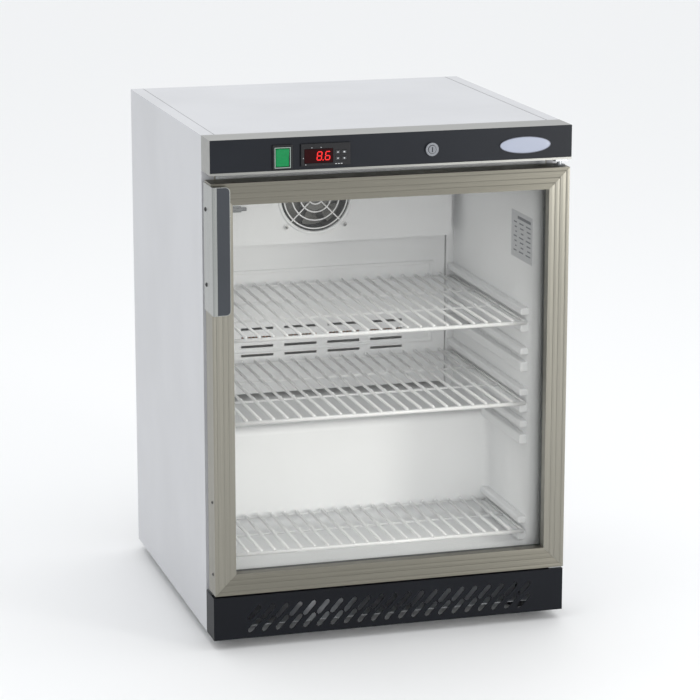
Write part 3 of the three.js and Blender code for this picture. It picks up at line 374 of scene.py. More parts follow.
def soften(piece, width, segments=2, angle=35.0):
    bevel = piece.modifiers.new("soft_edges", "BEVEL")
    bevel.width = width
    bevel.segments = segments
    bevel.limit_method = "ANGLE"
    bevel.angle_limit = math.radians(angle)
    bevel.use_clamp_overlap = True


def settle(piece):
    """Turns a piece's modifiers into plain mesh."""
    depsgraph = bpy.context.evaluated_depsgraph_get()
    mesh = bpy.data.meshes.new_from_object(piece.evaluated_get(depsgraph))
    piece.modifiers.clear()
    piece.data = mesh


def join_rings(bm, near, far):
    """A band of faces between two rings with the same number of points."""
    for i in range(len(near)):
        k = (i + 1) % len(near)
        bm.faces.new((near[i], near[k], far[k], far[i]))


def skin(bm, rings, closed=False):
    """Faces along a row of equal rings, which is closed on itself or else capped at both ends."""
    pairs = list(zip(rings, rings[1:]))
    if closed:
        pairs.append((rings[-1], rings[0]))
    for near, far in pairs:
        join_rings(bm, near, far)
    if not closed:
        bm.faces.new(list(reversed(rings[0])))
        bm.faces.new(rings[-1])


def oval(a, b, steps=64):
    """Points around an oval with half axes a and b."""
    turns = [2 * math.pi * i / steps for i in range(steps)]
    return [(a * math.cos(turn), b * math.sin(turn)) for turn in turns]


def add_box(bm, low, high):
    (x0, y0, z0), (x1, y1, z1) = low, high
    corners = ((x0, y0), (x1, y0), (x1, y1), (x0, y1))
    rings = []
    for z in (z0, z1):
        rings.append([bm.verts.new((x, y, z)) for x, y in corners])
    skin(bm, rings)


def cross_axes(direction):
    direction = direction.normalized()
    side = Vector((0, 0, 1)) if abs(direction.z) < 0.9 else Vector((1, 0, 0))
    across = direction.cross(side).normalized()
    return across, direction.cross(across).normalized()


def add_tube(bm, points, radius, sides=12):
    """A round rod through the points, capped at both ends."""
    points = [Vector(p) for p in points]
    last = len(points) - 1
    rings = []
    for i, point in enumerate(points):
        across, up = cross_axes(points[min(i + 1, last)] - points[max(i - 1, 0)])
        section = oval(radius, radius, sides)
        rings.append([bm.verts.new(point + a * across + b * up) for a, b in section])
    skin(bm, rings)


def add_ring(bm, centre, radius, wire, steps, sides=10):
    """A wire ring around an axis along y."""
    section = oval(wire, wire, sides)
    rings = []
    for u, v in oval(1.0, 1.0, steps):
        ring = [turned(centre, u * (radius + a), v * (radius + a), b, "y") for a, b in section]
        rings.append([bm.verts.new(point) for point in ring])
    skin(bm, rings, closed=True)


def turned(centre, a, b, height, axis):
    """A point a and b across an axis, and height along it."""
    offset = {"z": (a, b, height), "y": (a, height, b)}[axis]
    return Vector(centre) + Vector(offset)


def add_lathe(bm, profile, centre, axis="z", steps=48):
    """A turned shape: profile is (radius, height) from one end of the axis to the other."""
    rings = []
    for radius, height in profile:
        points = oval(radius, radius, steps) if radius else [(0, 0)]
        rings.append([bm.verts.new(turned(centre, a, b, height, axis)) for a, b in points])
    for low, high in zip(rings, rings[1:]):
        for i in range(max(len(low), len(high))):
            k = (i + 1) % steps
            if len(low) == 1:
                bm.faces.new((low[0], high[i], high[k]))
            elif len(high) == 1:
                bm.faces.new((low[i], low[k], high[0]))
            else:
                bm.faces.new((low[i], low[k], high[k], high[i]))


def add_prism(bm, outline, low, high, axis):
    """An outline pushed along x or y; its points are the other two coordinates in order."""
    rings = []
    for level in (low, high):
        points = [(level, a, b) if axis == "x" else (a, level, b) for a, b in outline]
        rings.append([bm.verts.new(point) for point in points])
    skin(bm, rings)


def add_picture_frame(bm, profile, x, z):
    """A mitred frame in the x-z plane: profile is (distance in from the outer edge, y)."""
    rings = []
    corners = ((x[0], z[0], 1, 1), (x[1], z[0], -1, 1), (x[1], z[1], -1, -1), (x[0], z[1], 1, -1))
    for cx, cz, sx, sz in corners:
        rings.append([bm.verts.new((cx + sx * u, y, cz + sz * u)) for u, y in profile])
    skin(bm, rings, closed=True)


def arc(centre, radius, start, end, steps):
    """Points of an arc in a plane, angles in degrees."""
    points = []
    for i in range(steps + 1):
        angle = math.radians(start + (end - start) * i / steps)
        points.append((centre[0] + radius * math.cos(angle), centre[1] + radius * math.sin(angle)))
    return points


def in_row(y_mm):
    """A distance behind the cabinet's front face, in mm, as a y of the row frame in metres."""
    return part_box("inner_liner")[0][1] + y_mm * MM


# ---- CAD nodes that stay: material and soft edges ----------------------------

# Width of the rounded edge, in metres, for nodes that stay as they are.
KEPT_EDGES = {
    "side_panel_left": 0.0010, "side_panel_right": 0.0010, "top_panel": 0.0004, "back_panel": 0.0004,
    "front_rail": 0.0004, "machine_bay_sheet": 0.0004, "base_plate": 0.0004, "insulation_foam": 0.0,
    "evaporator_cover": 0.0006, "fan_box": 0.0006, "drip_tray": 0.0005, "drain_tube": 0.0003,
    "temperature_probe": 0.0008, "fan_housing": 0.0010, "terminal_box": 0.0020, "condensate_pan": 0.0006,
    "cord_gland": 0.0005, "plinth_grille": 0.0004, "foot_front_left": 0.0006, "foot_front_right": 0.0006,
    "foot_back_left": 0.0006, "foot_back_right": 0.0006, "fascia_housing": 0.0006, "fascia_panel": 0.0004,
    "controller_case": 0.0008, "display_window": 0.0003, "switch_bezel": 0.0010, "switch_rocker": 0.0010,
    "lock_body": 0.0006, "lock_plug": 0.0004, "hinge_bracket_top": 0.0005, "hinge_bracket_bottom": 0.0005,
    "door_rail_bottom": 0.0, "door_rail_top": 0.0, "door_rail_left": 0.0, "door_rail_right": 0.0,
    "outer_glass": 0.0003, "inner_glass": 0.0003, "glass_spacer": 0.0005, "hinge_bush_bottom": 0.0004,
    "hinge_bush_top": 0.0004, "key_lower_left": 0.0004, "key_lower_right": 0.0004, "key_upper_left": 0.0004,
    "key_upper_right": 0.0004,
}
OWN_MATERIAL = {
    "door_rail_bottom": "door_aluminium_x",
    "door_rail_top": "door_aluminium_x",
    "door_rail_left": "door_aluminium_z",
    "door_rail_right": "door_aluminium_z",
    "plinth_grille": "plinth_black_painted_shade",
    "fascia_housing": "fascia_steel_painted_shade",
    "fan_housing": "fan_plastic_painted_shade",
}


def recolour(piece, material):
    for material_slot in piece.material_slots:
        material_slot.material = material


def weld_skin(piece):
    """Joins the points that the CAD mesh repeats along its edges, so that modifiers see one skin."""
    weld = piece.modifiers.new("one_skin", "WELD")
    weld.merge_threshold = 0.01 * MM


def dress_kept_nodes():
    slots = {part["node"]: part["material_slot"] for part in frame["record"]["subparts"]}
    for node, width in KEPT_EDGES.items():
        piece = frame["nodes"][node]
        material = MATERIALS[OWN_MATERIAL.get(node, slots[node])]
        recolour(piece, material)
        if width:
            weld_skin(piece)
            soften(piece, width)


# ---- Inner liner -------------------------------------------------------------

LINER_WALL = 2 * MM
TUB_HALF = 258 * MM
TUB_Z = (118 * MM, 748 * MM)
TUB_DEPTH = 495 * MM
STEP_PLACE = (215 * MM, 296 * MM)  # face of the step behind the cabinet's front, height of its top
CORNER_RADIUS = 14 * MM
FLANGE_INSET = 1 * MM
RAIL_REACH = 14 * MM
RAIL_START = 16 * MM
RAIL_ENDS = (413 * MM, 216 * MM)  # of a rail over the step and of one in front of it
RAIL_LEVELS = (505 * MM, 437 * MM, 367 * MM, 312 * MM, 145 * MM)
DEEP_LEVELS = 3
RIBS = ((-23 * MM, -6 * MM), (6 * MM, 18 * MM))
POST_FROM = (243 * MM, 417 * MM)  # inner edge and front face of the posts in the back corners
ROOT = 1 * MM  # how far ribs and posts reach into the tub's wall


def build_liner():
    low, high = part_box("inner_liner")
    front = low[1]
    step, step_top = front + STEP_PLACE[0], STEP_PLACE[1]
    back = front + TUB_DEPTH
    side = [
        (front, TUB_Z[0]),
        (step, TUB_Z[0]),
        (step, step_top),
        (back, step_top),
        (back, TUB_Z[1]),
        (front, TUB_Z[1]),
    ]
    middle = (TUB_Z[0] + TUB_Z[1]) / 2

    def tub(bm):
        add_prism(bm, side, -TUB_HALF, TUB_HALF, "x")
        opening = [f for f in bm.faces if all(abs(v.co.y - front) < 1e-6 for v in f.verts)]
        bmesh.ops.delete(bm, geom=opening, context="FACES_ONLY")
        inner = [e for e in bm.edges if len(e.link_faces) == 2]
        round_off = {"offset": CORNER_RADIUS, "segments": 5, "profile": 0.5, "affect": "EDGES"}
        bmesh.ops.bevel(bm, geom=inner, clamp_overlap=True, **round_off)
        rim = [e for e in bm.edges if len(e.link_faces) == 1]
        grown = bmesh.ops.extrude_edge_only(bm, edges=rim)
        for vert in (v for v in grown["geom"] if isinstance(v, bmesh.types.BMVert)):
            vert.co.x *= (high[0] - FLANGE_INSET) / TUB_HALF
            if vert.co.z > middle:
                edge, end = TUB_Z[1], high[2] - FLANGE_INSET
            else:
                edge, end = TUB_Z[0], low[2] + FLANGE_INSET
            vert.co.z = middle + (vert.co.z - middle) * (end - middle) / (edge - middle)

    piece = make_piece("liner_tub", tub, "white_plastic", "cabinet", replaces=("inner_liner",), smooth=True)
    # The wall grows away from the room, whichever way the open shell's faces were turned.
    widest = max(piece.data.polygons, key=lambda face: face.area)
    room = Vector((0.0, (front + back) / 2, middle))
    outward = widest.normal.dot(widest.center - room) > 0
    wall = piece.modifiers.new("thickness", "SOLIDIFY")
    wall.thickness = LINER_WALL
    wall.offset = 1.0 if outward else -1.0
    settle(piece)

    def rails(bm):
        for index, level in enumerate(RAIL_LEVELS):
            end = front + (RAIL_ENDS[0] if index < DEEP_LEVELS else RAIL_ENDS[1])
            for sign in (-1, 1):
                x = sorted((sign * (TUB_HALF - RAIL_REACH), sign * (TUB_HALF + ROOT)))
                for bottom, top in RIBS:
                    add_box(bm, (x[0], front + RAIL_START, level + bottom), (x[1], end, level + top))
        for sign in (-1, 1):
            x = sorted((sign * POST_FROM[0], sign * (TUB_HALF + ROOT)))
            add_box(bm, (x[0], front + POST_FROM[1], step_top - ROOT), (x[1], back, TUB_Z[1]))

    make_piece("liner_rails", rails, "white_plastic", "cabinet", bevel=(3.2 * MM, 4))


EMBOSS = {"half": 218 * MM, "z": (380 * MM, 529 * MM), "width": 7 * MM, "proud": 2.8 * MM, "sunk": 0.9 * MM}
RIDGE_TURNS = [math.pi * i / 8 for i in range(9)]


def build_cover_bead():
    """The rounded bead pressed into the rear cover around its louvres."""
    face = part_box("evaporator_cover")[0][1]
    width, proud = EMBOSS["width"], EMBOSS["proud"]

    def bead(bm):
        root = face + EMBOSS["sunk"]
        ridge = [(width / 2 * (1 - math.cos(a)), face - proud * math.sin(a)) for a in RIDGE_TURNS]
        profile = [(width, root), (0.0, root), *ridge]
        add_picture_frame(bm, profile, (-EMBOSS["half"], EMBOSS["half"]), EMBOSS["z"])

    make_piece("cover_bead", bead, "white_plastic", "cabinet", smooth=True)


# ---- Wire shelves ------------------------------------------------------------

LONG_WIRES = 23
LONG_WIRE = 2.5 * MM
CROSS_WIRE = 1.8 * MM
FRONT_ROD = 3.4 * MM
SUNK = 1.0 * MM  # how deep welded wires sit in each other
BEAD = 3.5 * MM


def build_shelves():
    for node in ("shelf_upper", "shelf_middle", "shelf_lower"):
        low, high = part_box(node)
        intervals = 3 if high.y - low.y > 0.3 else 2

        def shelf(bm, low=low, high=high, intervals=intervals):
            cross_z = low.z + CROSS_WIRE
            long_z = cross_z + CROSS_WIRE + LONG_WIRE - SUNK
            rod_z = long_z - LONG_WIRE - FRONT_ROD + SUNK
            x0, x1 = low.x + CROSS_WIRE, high.x - CROSS_WIRE
            y0, y1 = low.y + FRONT_ROD, high.y - CROSS_WIRE
            columns = [x0 + (x1 - x0) * i / (LONG_WIRES - 1) for i in range(LONG_WIRES)]
            rows = [y0 + (y1 - y0) * i / intervals for i in range(1, intervals + 1)]
            for x in columns[1:-1]:
                add_tube(bm, [(x, y0 - LONG_WIRE, long_z), (x, y1 + CROSS_WIRE, long_z)], LONG_WIRE, 12)
                for y in rows:
                    add_bead(bm, (x, y, long_z + BEAD * 0.1), BEAD)
            for x in (x0, x1):
                add_tube(bm, [(x, y0, cross_z), (x, y1, cross_z)], CROSS_WIRE, 10)
            for y in rows:
                add_tube(bm, [(low.x, y, cross_z), (high.x, y, cross_z)], CROSS_WIRE, 10)
            add_tube(bm, [(low.x, y0, rod_z), (high.x, y0, rod_z)], FRONT_ROD, 18)

        make_piece(node + "_wires", shelf, "coated_wire", node, replaces=(node,), smooth=True)


def add_bead(bm, centre, radius):
    """A small ball of coating and weld, longer along the wire than across it."""
    place = Matrix.Translation(centre) @ Matrix.Diagonal((0.95, 1.5, 1.0, 1.0))
    bmesh.ops.create_uvsphere(bm, u_segments=10, v_segments=7, radius=radius, matrix=place)


# ---- Fan: guard, rotor, rim of its hole, screws ------------------------------

GUARD_RINGS = (14 * MM, 28 * MM, 42.5 * MM, 57 * MM)
GUARD_WIRE = 1.25 * MM
GUARD_PITCH = 105 * MM
GUARD_EYE = 3.6 * MM  # radius of the wire eye around each screw
SPOKE_START = 0.16  # share of the way from the fan's axis to the screw
LIP_RADIUS = 64.8 * MM  # rolled lip around the fan's hole
LIP = 3 * MM
LIP_TURNS = [math.radians(180 + 180 * i / 8) for i in range(9)]
HUB_RADIUS = 28 * MM
BLADE_REACH = 53.5 * MM
BLADES = 7


def build_fan():
    low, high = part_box("fan_housing")
    x, z = (low.x + high.x) / 2, (low.z + high.z) / 2
    low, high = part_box("fan_guard")
    guard_y = (low.y + high.y) / 2
    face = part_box("fan_box")[0][1]
    half = GUARD_PITCH / 2
    tabs = [(x + sx * half, z + sz * half) for sx in (-1, 1) for sz in (-1, 1)]

    def guard(bm):
        for radius in GUARD_RINGS:
            add_ring(bm, (x, guard_y, z), radius, GUARD_WIRE, 72)
        for tab_x, tab_z in tabs:
            root_y = guard_y + 1.6 * MM
            inner = Vector((x, root_y, z)).lerp(Vector((tab_x, root_y, tab_z)), SPOKE_START)
            add_tube(bm, [inner, (tab_x, guard_y + 1.0 * MM, tab_z)], GUARD_WIRE, 10)
            add_ring(bm, (tab_x, guard_y + 0.6 * MM, tab_z), GUARD_EYE, GUARD_WIRE, 24, 8)

    make_piece("fan_guard_wires", guard, "coated_wire", "cabinet", replaces=("fan_guard",), smooth=True)

    def rim(bm):
        ring = [(LIP_RADIUS + LIP * math.cos(a), LIP * math.sin(a)) for a in LIP_TURNS]
        inner = LIP_RADIUS - LIP
        profile = [(inner, 2 * MM), *ring, (LIP_RADIUS + LIP, 0.2 * MM), (inner + 1 * MM, 2 * MM)]
        add_lathe(bm, [*profile, profile[0]], (x, face, z), "y", 72)

    make_piece("fan_hole_rim", rim, "white_plastic", "cabinet", smooth=True)

    for index, (tab_x, tab_z) in enumerate(tabs):
        place = (tab_x, guard_y - 0.6 * MM, tab_z)
        place_screw(f"guard_screw_{index + 1}", place, "-y", 3.4 * MM, "cabinet")

    low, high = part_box("fan_rotor")
    depth = high.y - low.y

    def rotor(bm):
        cap = [(0, 0.6 * MM), (HUB_RADIUS * 0.55, 0), (HUB_RADIUS * 0.93, 0.6 * MM)]
        cap += [(HUB_RADIUS, 2.6 * MM), (HUB_RADIUS, depth), (0, depth)]
        add_lathe(bm, cap, (x, low.y, z), "y", 56)
        for blade in range(BLADES):
            turn = 2 * math.pi * blade / BLADES
            centre = (x, low.y + depth / 2, z)
            add_blade(bm, centre, HUB_RADIUS - 2 * MM, BLADE_REACH, turn, depth * 0.43)

    make_piece(
        "fan_rotor_blades", rotor, "rotor_plastic", "fan_rotor", replaces=("fan_rotor",)
    )


def add_blade(bm, centre, inner, outer, turn, half_depth, steps=7, chord_steps=6, thick=0.9 * MM):
    """One twisted, cambered fan blade between two radii."""
    rims = []
    for side in (-1, 1):
        grid = []
        for i in range(steps + 1):
            t = i / steps
            radius = inner + (outer - inner) * t
            width = math.radians(34 + 8 * t)
            row = []
            for j in range(chord_steps + 1):
                c = j / chord_steps - 0.5
                angle = turn + c * width + 0.16 * t
                y = 2 * c * half_depth * (1 - 0.25 * t) + side * thick / 2
                y += 1.6 * MM * (1 - 4 * c * c)
                place = turned(centre, radius * math.cos(angle), radius * math.sin(angle), y, "y")
                row.append(bm.verts.new(place))
            grid.append(row)
        for i in range(steps):
            for j in range(chord_steps):
                bm.faces.new((grid[i][j], grid[i][j + 1], grid[i + 1][j + 1], grid[i + 1][j]))
        rim = grid[0] + [row[-1] for row in grid[1:]]
        rim += list(reversed(grid[-1][:-1])) + [row[0] for row in reversed(grid[1:-1])]
        rims.append(rim)
    join_rings(bm, *rims)


# ---- Screws ------------------------------------------------------------------


def place_screw(name, place, facing, radius, body, material="screw_steel"):
    """A pan head with a socket, whose underside sits at place and whose head faces outward."""
    height = radius * 0.62

    def head(bm):
        dome = [(0, 0), (radius, 0), (radius, height * 0.25)]
        for turn in (34, 48, 62, 76):
            angle = math.radians(turn)
            dome.append((radius * math.cos(angle) * 1.02, height * (0.25 + 0.75 * math.sin(angle))))
        dome += [(radius * 0.34, height), (radius * 0.28, height * 0.2), (0, height * 0.2)]
        add_lathe(bm, dome, (0, 0, 0), "z", 20)

    piece = make_piece(name, head, material, body)
    turn = {
        "-y": Matrix.Rotation(math.pi / 2, 4, "X"),
        "+y": Matrix.Rotation(-math.pi / 2, 4, "X"),
        "-x": Matrix.Rotation(-math.pi / 2, 4, "Y"),
    }[facing]
    piece.data.transform(Matrix.Translation(place) @ turn)


# ---- Door: gasket and handle -------------------------------------------------

GASKET_HALF = 6 * MM
BELLOWS = ((4, 0), (5, 3), (3, 5.5), (6, 8))  # mm from the middle and behind the front, at each fold


def build_gasket():
    low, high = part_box("door_gasket")

    def bellows(bm):
        half = [(out * MM, low.y + depth * MM) for out, depth in BELLOWS]
        half += [(GASKET_HALF, high.y - 1 * MM), (GASKET_HALF - 1.5 * MM, high.y)]
        profile = [(GASKET_HALF + out, y) for out, y in half]
        profile += [(GASKET_HALF - out, y) for out, y in reversed(half)]
        add_picture_frame(bm, profile, (low.x, high.x), (low.z, high.z))

    make_piece(
        "door_seal", bellows, "seal_rubber", "door", replaces=("door_gasket",),
        bevel=(0.5 * MM, 2),
    )


HANDLE_SHEET = 1.2 * MM
HANDLE_BEND = 2.4 * MM
HANDLE_CORNER = 8 * MM
# The dark plate on the handle's front is a painted reflection of something dark in the steel.
REFLECTION_INLAY = {"left": 7.5 * MM, "border": 1.2 * MM, "proud": 0.3 * MM}
HANDLE_SCREWS = ((-25, 725 * MM), (-27, 604 * MM))  # mm behind the cabinet's front face, height
EDGE_SCREWS = ((-43, 249 * MM), (-43, 128 * MM))


def build_handle():
    low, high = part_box("door_handle")

    def plate(bm):
        # The sheet's outer line seen from above: along the door's side, round the bend, out to the tip.
        centre = (low.x + HANDLE_BEND, low.y + HANDLE_BEND)
        outer = [(low.x, high.y)] + arc(centre, HANDLE_BEND, 180, 270, 6) + [(high.x, low.y)]
        rings = []
        for z, cut in corner_levels(low.z, high.z):
            line = [Vector(point) for point in outer]
            line[-1].x -= cut
            inner = []
            for i, point in enumerate(line):
                ahead = line[min(i + 1, len(line) - 1)] - line[max(i - 1, 0)]
                normal = Vector((-ahead.y, ahead.x)).normalized()
                inner.append(point + normal * HANDLE_SHEET)
            loop = line + list(reversed(inner))
            rings.append([bm.verts.new((p.x, p.y, z)) for p in loop])
        skin(bm, rings)

    make_piece(
        "handle_plate", plate, "handle_steel", "door", replaces=("door_handle",),
        bevel=(0.3 * MM, 2, 50.0),
    )

    # A thin dark plate on the handle's face: a painted reflection in the steel.
    def facing(bm):
        border = REFLECTION_INLAY["border"]
        x = (low.x + REFLECTION_INLAY["left"], high.x - border)
        z = (low.z + border, high.z - border)
        radius = HANDLE_CORNER - border
        outline = [(x[0], z[0])]
        outline += arc((x[1] - radius, z[0] + radius), radius, 270, 360, 6)
        outline += arc((x[1] - radius, z[1] - radius), radius, 0, 90, 6)
        outline.append((x[0], z[1]))
        add_prism(bm, outline, low.y - REFLECTION_INLAY["proud"], low.y + 0.1 * MM, "y")

    make_piece(
        "handle_painted_reflection", facing, "painted_reflection_plastic", "door", bevel=(0.12 * MM, 2)
    )
    for index, (y, z) in enumerate(HANDLE_SCREWS):
        place = (low.x + 0.1 * MM, in_row(y), z)
        place_screw(f"handle_screw_{index + 1}", place, "-x", 3.6 * MM, "door", "black_enamel")
    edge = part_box("door_rail_left")[0][0]
    for index, (y, z) in enumerate(EDGE_SCREWS):
        place = (edge, in_row(y), z)
        place_screw(f"door_edge_screw_{index + 1}", place, "-x", 2.6 * MM, "door", "black_enamel")


def corner_levels(low, high, steps=6):
    """Heights along the handle with how far its free edge is cut back there to round the corners."""
    levels = []
    for i in range(steps + 1):
        angle = math.pi / 2 * i / steps
        rise, cut = HANDLE_CORNER * (1 - math.cos(angle)), HANDLE_CORNER * (1 - math.sin(angle))
        levels.append((low + rise, cut))
    return levels + [(high - (z - low), cut) for z, cut in reversed(levels)]


# ---- Fascia details: digits, key marks, badge --------------------------------

SEGMENTS = {"8": "abcdefg", "6": "acdefg"}
DIGIT_PLACES = (("8", 26 * MM), ("6", 12.5 * MM))  # left edge of each, in from the window's right edge
DIGIT_SIZE = (7.2 * MM, 13.0 * MM)
DIGIT_THICK = 1.6 * MM
DIGIT_LEAN = 0.12
DOT_PLACE = 15.8 * MM
DOT_HALF = 0.9 * MM
PRINT_GAP = 2.4 * MM  # between the window and what is printed around it


def segment_lines(w, h):
    """Both ends of each bar of a seven-bar digit."""
    return {
        "a": ((0, h), (w, h)),
        "b": ((w, h), (w, h / 2)),
        "c": ((w, h / 2), (w, 0)),
        "d": ((0, 0), (w, 0)),
        "e": ((0, 0), (0, h / 2)),
        "f": ((0, h / 2), (0, h)),
        "g": ((0, h / 2), (w, h / 2)),
    }


def add_segment(bm, start, end, thick, y):
    """A pointed bar between two ends, as on a lamp display."""
    a, b = Vector(start), Vector(end)
    run = (b - a).normalized()
    side = Vector((-run.y, run.x)) * thick / 2
    a, b = a + run * thick * 0.15, b - run * thick * 0.15
    tip = run * thick / 2
    outline = [a, a + tip + side, b - tip + side, b, b - tip - side, a + tip - side]
    add_prism(bm, [(p.x, p.y) for p in outline], y - 0.15 * MM, y + 0.05 * MM, "y")


def build_display():
    low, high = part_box("display_window")
    base = (low.z + high.z) / 2 - DIGIT_SIZE[1] / 2
    glass = low.y
    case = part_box("controller_case")[0][1]

    def digits(bm):
        lines = segment_lines(*DIGIT_SIZE)
        for digit, place in DIGIT_PLACES:
            left = high.x - place
            for name in SEGMENTS[digit]:
                start, end = [(left + px + DIGIT_LEAN * pz, base + pz) for px, pz in lines[name]]
                add_segment(bm, start, end, DIGIT_THICK, glass)
        dot = high.x - DOT_PLACE
        low_corner = (dot - DOT_HALF, glass - 0.15 * MM, base - DOT_HALF)
        add_box(bm, low_corner, (dot + DOT_HALF, glass, base + DOT_HALF))

    make_piece("display_digits", digits, "display_digits", "cabinet")

    def marks(bm):
        # Small pale dots and dashes printed on the case around the window.
        front, root = case - 0.12 * MM, case + 0.02 * MM
        dots = [(low.x + 12 * MM, high.z + PRINT_GAP), (low.x + 27 * MM, high.z + PRINT_GAP)]
        dots += [(low.x + 2 * MM, low.z - PRINT_GAP), (low.x - 2 * MM, low.z + 8 * MM)]
        for dot in dots:
            add_prism(bm, arc(dot, 0.7 * MM, 0, 315, 7), front, root, "y")
        for step in range(3):
            x = high.x + (4 + 4.5 * step) * MM
            z = low.z - PRINT_GAP
            add_box(bm, (x, front, z - 0.5 * MM), (x + 3 * MM, root, z + 0.5 * MM))

    make_piece("display_marks", marks, "white_ink", "cabinet")


SWITCH_RIM_GROW = 2.4 * MM
# Section of the switch's rim: mm in from its outer edge, mm behind the bezel's face.
SWITCH_RIM = ((0.0, 0.1), (0.0, -0.3), (0.5, -0.7), (1.3, -0.6), (1.6, 0.1))


def build_switch_rim():
    """A pale frame moulded around the rocker's opening."""
    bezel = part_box("switch_bezel")[0][1]
    low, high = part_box("switch_rocker")
    grow = Vector((SWITCH_RIM_GROW, 0.0, SWITCH_RIM_GROW))
    low, high = low - grow, high + grow

    def rim(bm):
        profile = [(inward * MM, bezel + depth * MM) for inward, depth in SWITCH_RIM]
        add_picture_frame(bm, profile, (low.x, high.x), (low.z, high.z))

    make_piece("switch_rim", rim, "rocker_rim", "cabinet", bevel=(0.2 * MM, 2))


KEY_MARKS = {
    "key_upper_left": [(-1.6, -0.9), (1.6, -0.9), (0.0, 1.3)],
    "key_lower_left": [(-1.6, 0.9), (0.0, -1.3), (1.6, 0.9)],
    "key_upper_right": [(-1.4, -1.1), (1.4, -1.1), (1.4, 1.1), (-1.4, 1.1)],
    "key_lower_right": [(-1.6, 0.0), (0.0, -1.4), (1.6, 0.0), (0.0, 1.4)],
}


def build_key_marks():
    for node, points in KEY_MARKS.items():
        low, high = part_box(node)
        middle = (low + high) / 2
        y = low.y + 0.25 * MM

        def mark(bm, points=points, middle=middle, y=y):
            outline = [(middle.x + px * MM, middle.z + pz * MM) for px, pz in points]
            add_prism(bm, outline, y - 0.1 * MM, y + 0.05 * MM, "y")

        make_piece(node + "_mark", mark, "white_ink", node)


def build_badge():
    low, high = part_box("badge")
    middle = (low + high) / 2
    a, b = (high.x - low.x) / 2, (high.z - low.z) / 2
    front, back = low.y, high.y

    def oval_rings(bm, levels):
        """Rings of the badge's oval, each grown by so much and at its own y."""
        rings = []
        for grow, y in levels:
            points = oval(a + grow, b + grow)
            rings.append([bm.verts.new((middle.x + u, y, middle.z + v)) for u, v in points])
        return rings

    def plate(bm):
        # Outer wall, raised rim, then a shallow dome.
        levels = [(0.0, back), (0.0, front + 0.3 * MM), (-0.015 * b, front), (-0.045 * b, front)]
        levels += [(-0.065 * b, front + 0.5 * MM), (-0.4 * b, front + 0.3 * MM)]
        levels.append((-0.7 * b, front + 0.22 * MM))
        skin(bm, oval_rings(bm, levels))

    make_piece("badge_plate", plate, "badge_plastic", "cabinet", replaces=("badge",))

    def band(bm):
        # A thin band around the oval, just proud of its wall.
        out, tip = 0.5 * MM, front - 0.1 * MM
        skin(bm, oval_rings(bm, [(out, back), (out, tip), (-out, tip), (-out, back)]), closed=True)

    make_piece("badge_band", band, "badge_rim", "cabinet")


SEAM_WIDTH = 1.1 * MM


def build_top_seams():
    """Sealant in the seams between the top panel and the side panels."""
    low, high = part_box("top_panel")

    def seams(bm):
        for x0, x1 in ((low.x - SEAM_WIDTH, low.x), (high.x, high.x + SEAM_WIDTH)):
            outline = [(x0, high.z - 0.8 * MM), (x1, high.z - 0.8 * MM), (x1, high.z - 0.1 * MM)]
            outline += [((x0 + x1) / 2, high.z + 0.05 * MM), (x0, high.z - 0.1 * MM)]
            add_prism(bm, outline, low.y + 0.5 * MM, high.y - 0.5 * MM, "y")

    make_piece("top_seams", seams, "seam_sealant", "cabinet")


# ---- Data plate on the right wall of the liner -------------------------------

PAPER = 0.3 * MM
PLATE_Y = (4, 108)  # mm behind the cabinet's front face
PLATE_Z = (596 * MM, 675 * MM)
BAR_ROWS = 7
BAR_PITCH = 8 * MM
BAR_HEIGHT = 2.2 * MM
BARS = ((0.08, 0.30), (0.42, 0.62), (0.74, 0.88))  # shares of the plate's width


def build_data_plate():
    """A paper plate with plain bars in place of print."""
    y0, y1 = (in_row(y) for y in PLATE_Y)
    z0, z1 = PLATE_Z
    face = TUB_HALF - PAPER

    def paper(bm):
        add_box(bm, (face, y0, z0), (TUB_HALF, y1, z1))

    make_piece("data_plate", paper, "label_paper", "cabinet", bevel=(0.1 * MM, 1))

    def bars(bm):
        x0, depth = face - 0.2 * MM, y1 - y0
        for row in range(BAR_ROWS):
            z = z1 - 20 * MM - row * BAR_PITCH
            shorter = 0.04 * (row % 3)
            for start, end in BARS:
                far = y0 + depth * (end - shorter)
                add_box(bm, (x0, y0 + depth * start, z), (face, far, z + BAR_HEIGHT))
        add_box(bm, (x0, y0 + depth * 0.08, z1 - 12 * MM), (face, y0 + depth * 0.7, z1 - 7 * MM))

    make_piece("data_plate_bars", bars, "label_ink", "cabinet")


# ---- Machine bay -------------------------------------------------------------

DOME = 45 * MM  # height of the compressor's rounded top
# Lower part of the shell: share of its radius, height in mm. The belt is the welded seam.
SHELL = ((0, 4), (0.70, 5), (0.90, 14), (0.96, 24), (0.965, 62), (1, 64), (1, 70), (0.965, 72))
SHOULDER = 0.95
PLATE_HALF = 70 * MM
MOUNT_PLACE = (72 * MM, 57 * MM)
MOUNT = ((0, 0), (10, 0), (11.5, 2), (9, 5), (11.5, 8), (10, 10), (0, 10))  # radius and height in mm
MOUNT_HEIGHT = 10 * MM  # of that profile, before it is fitted under the plate


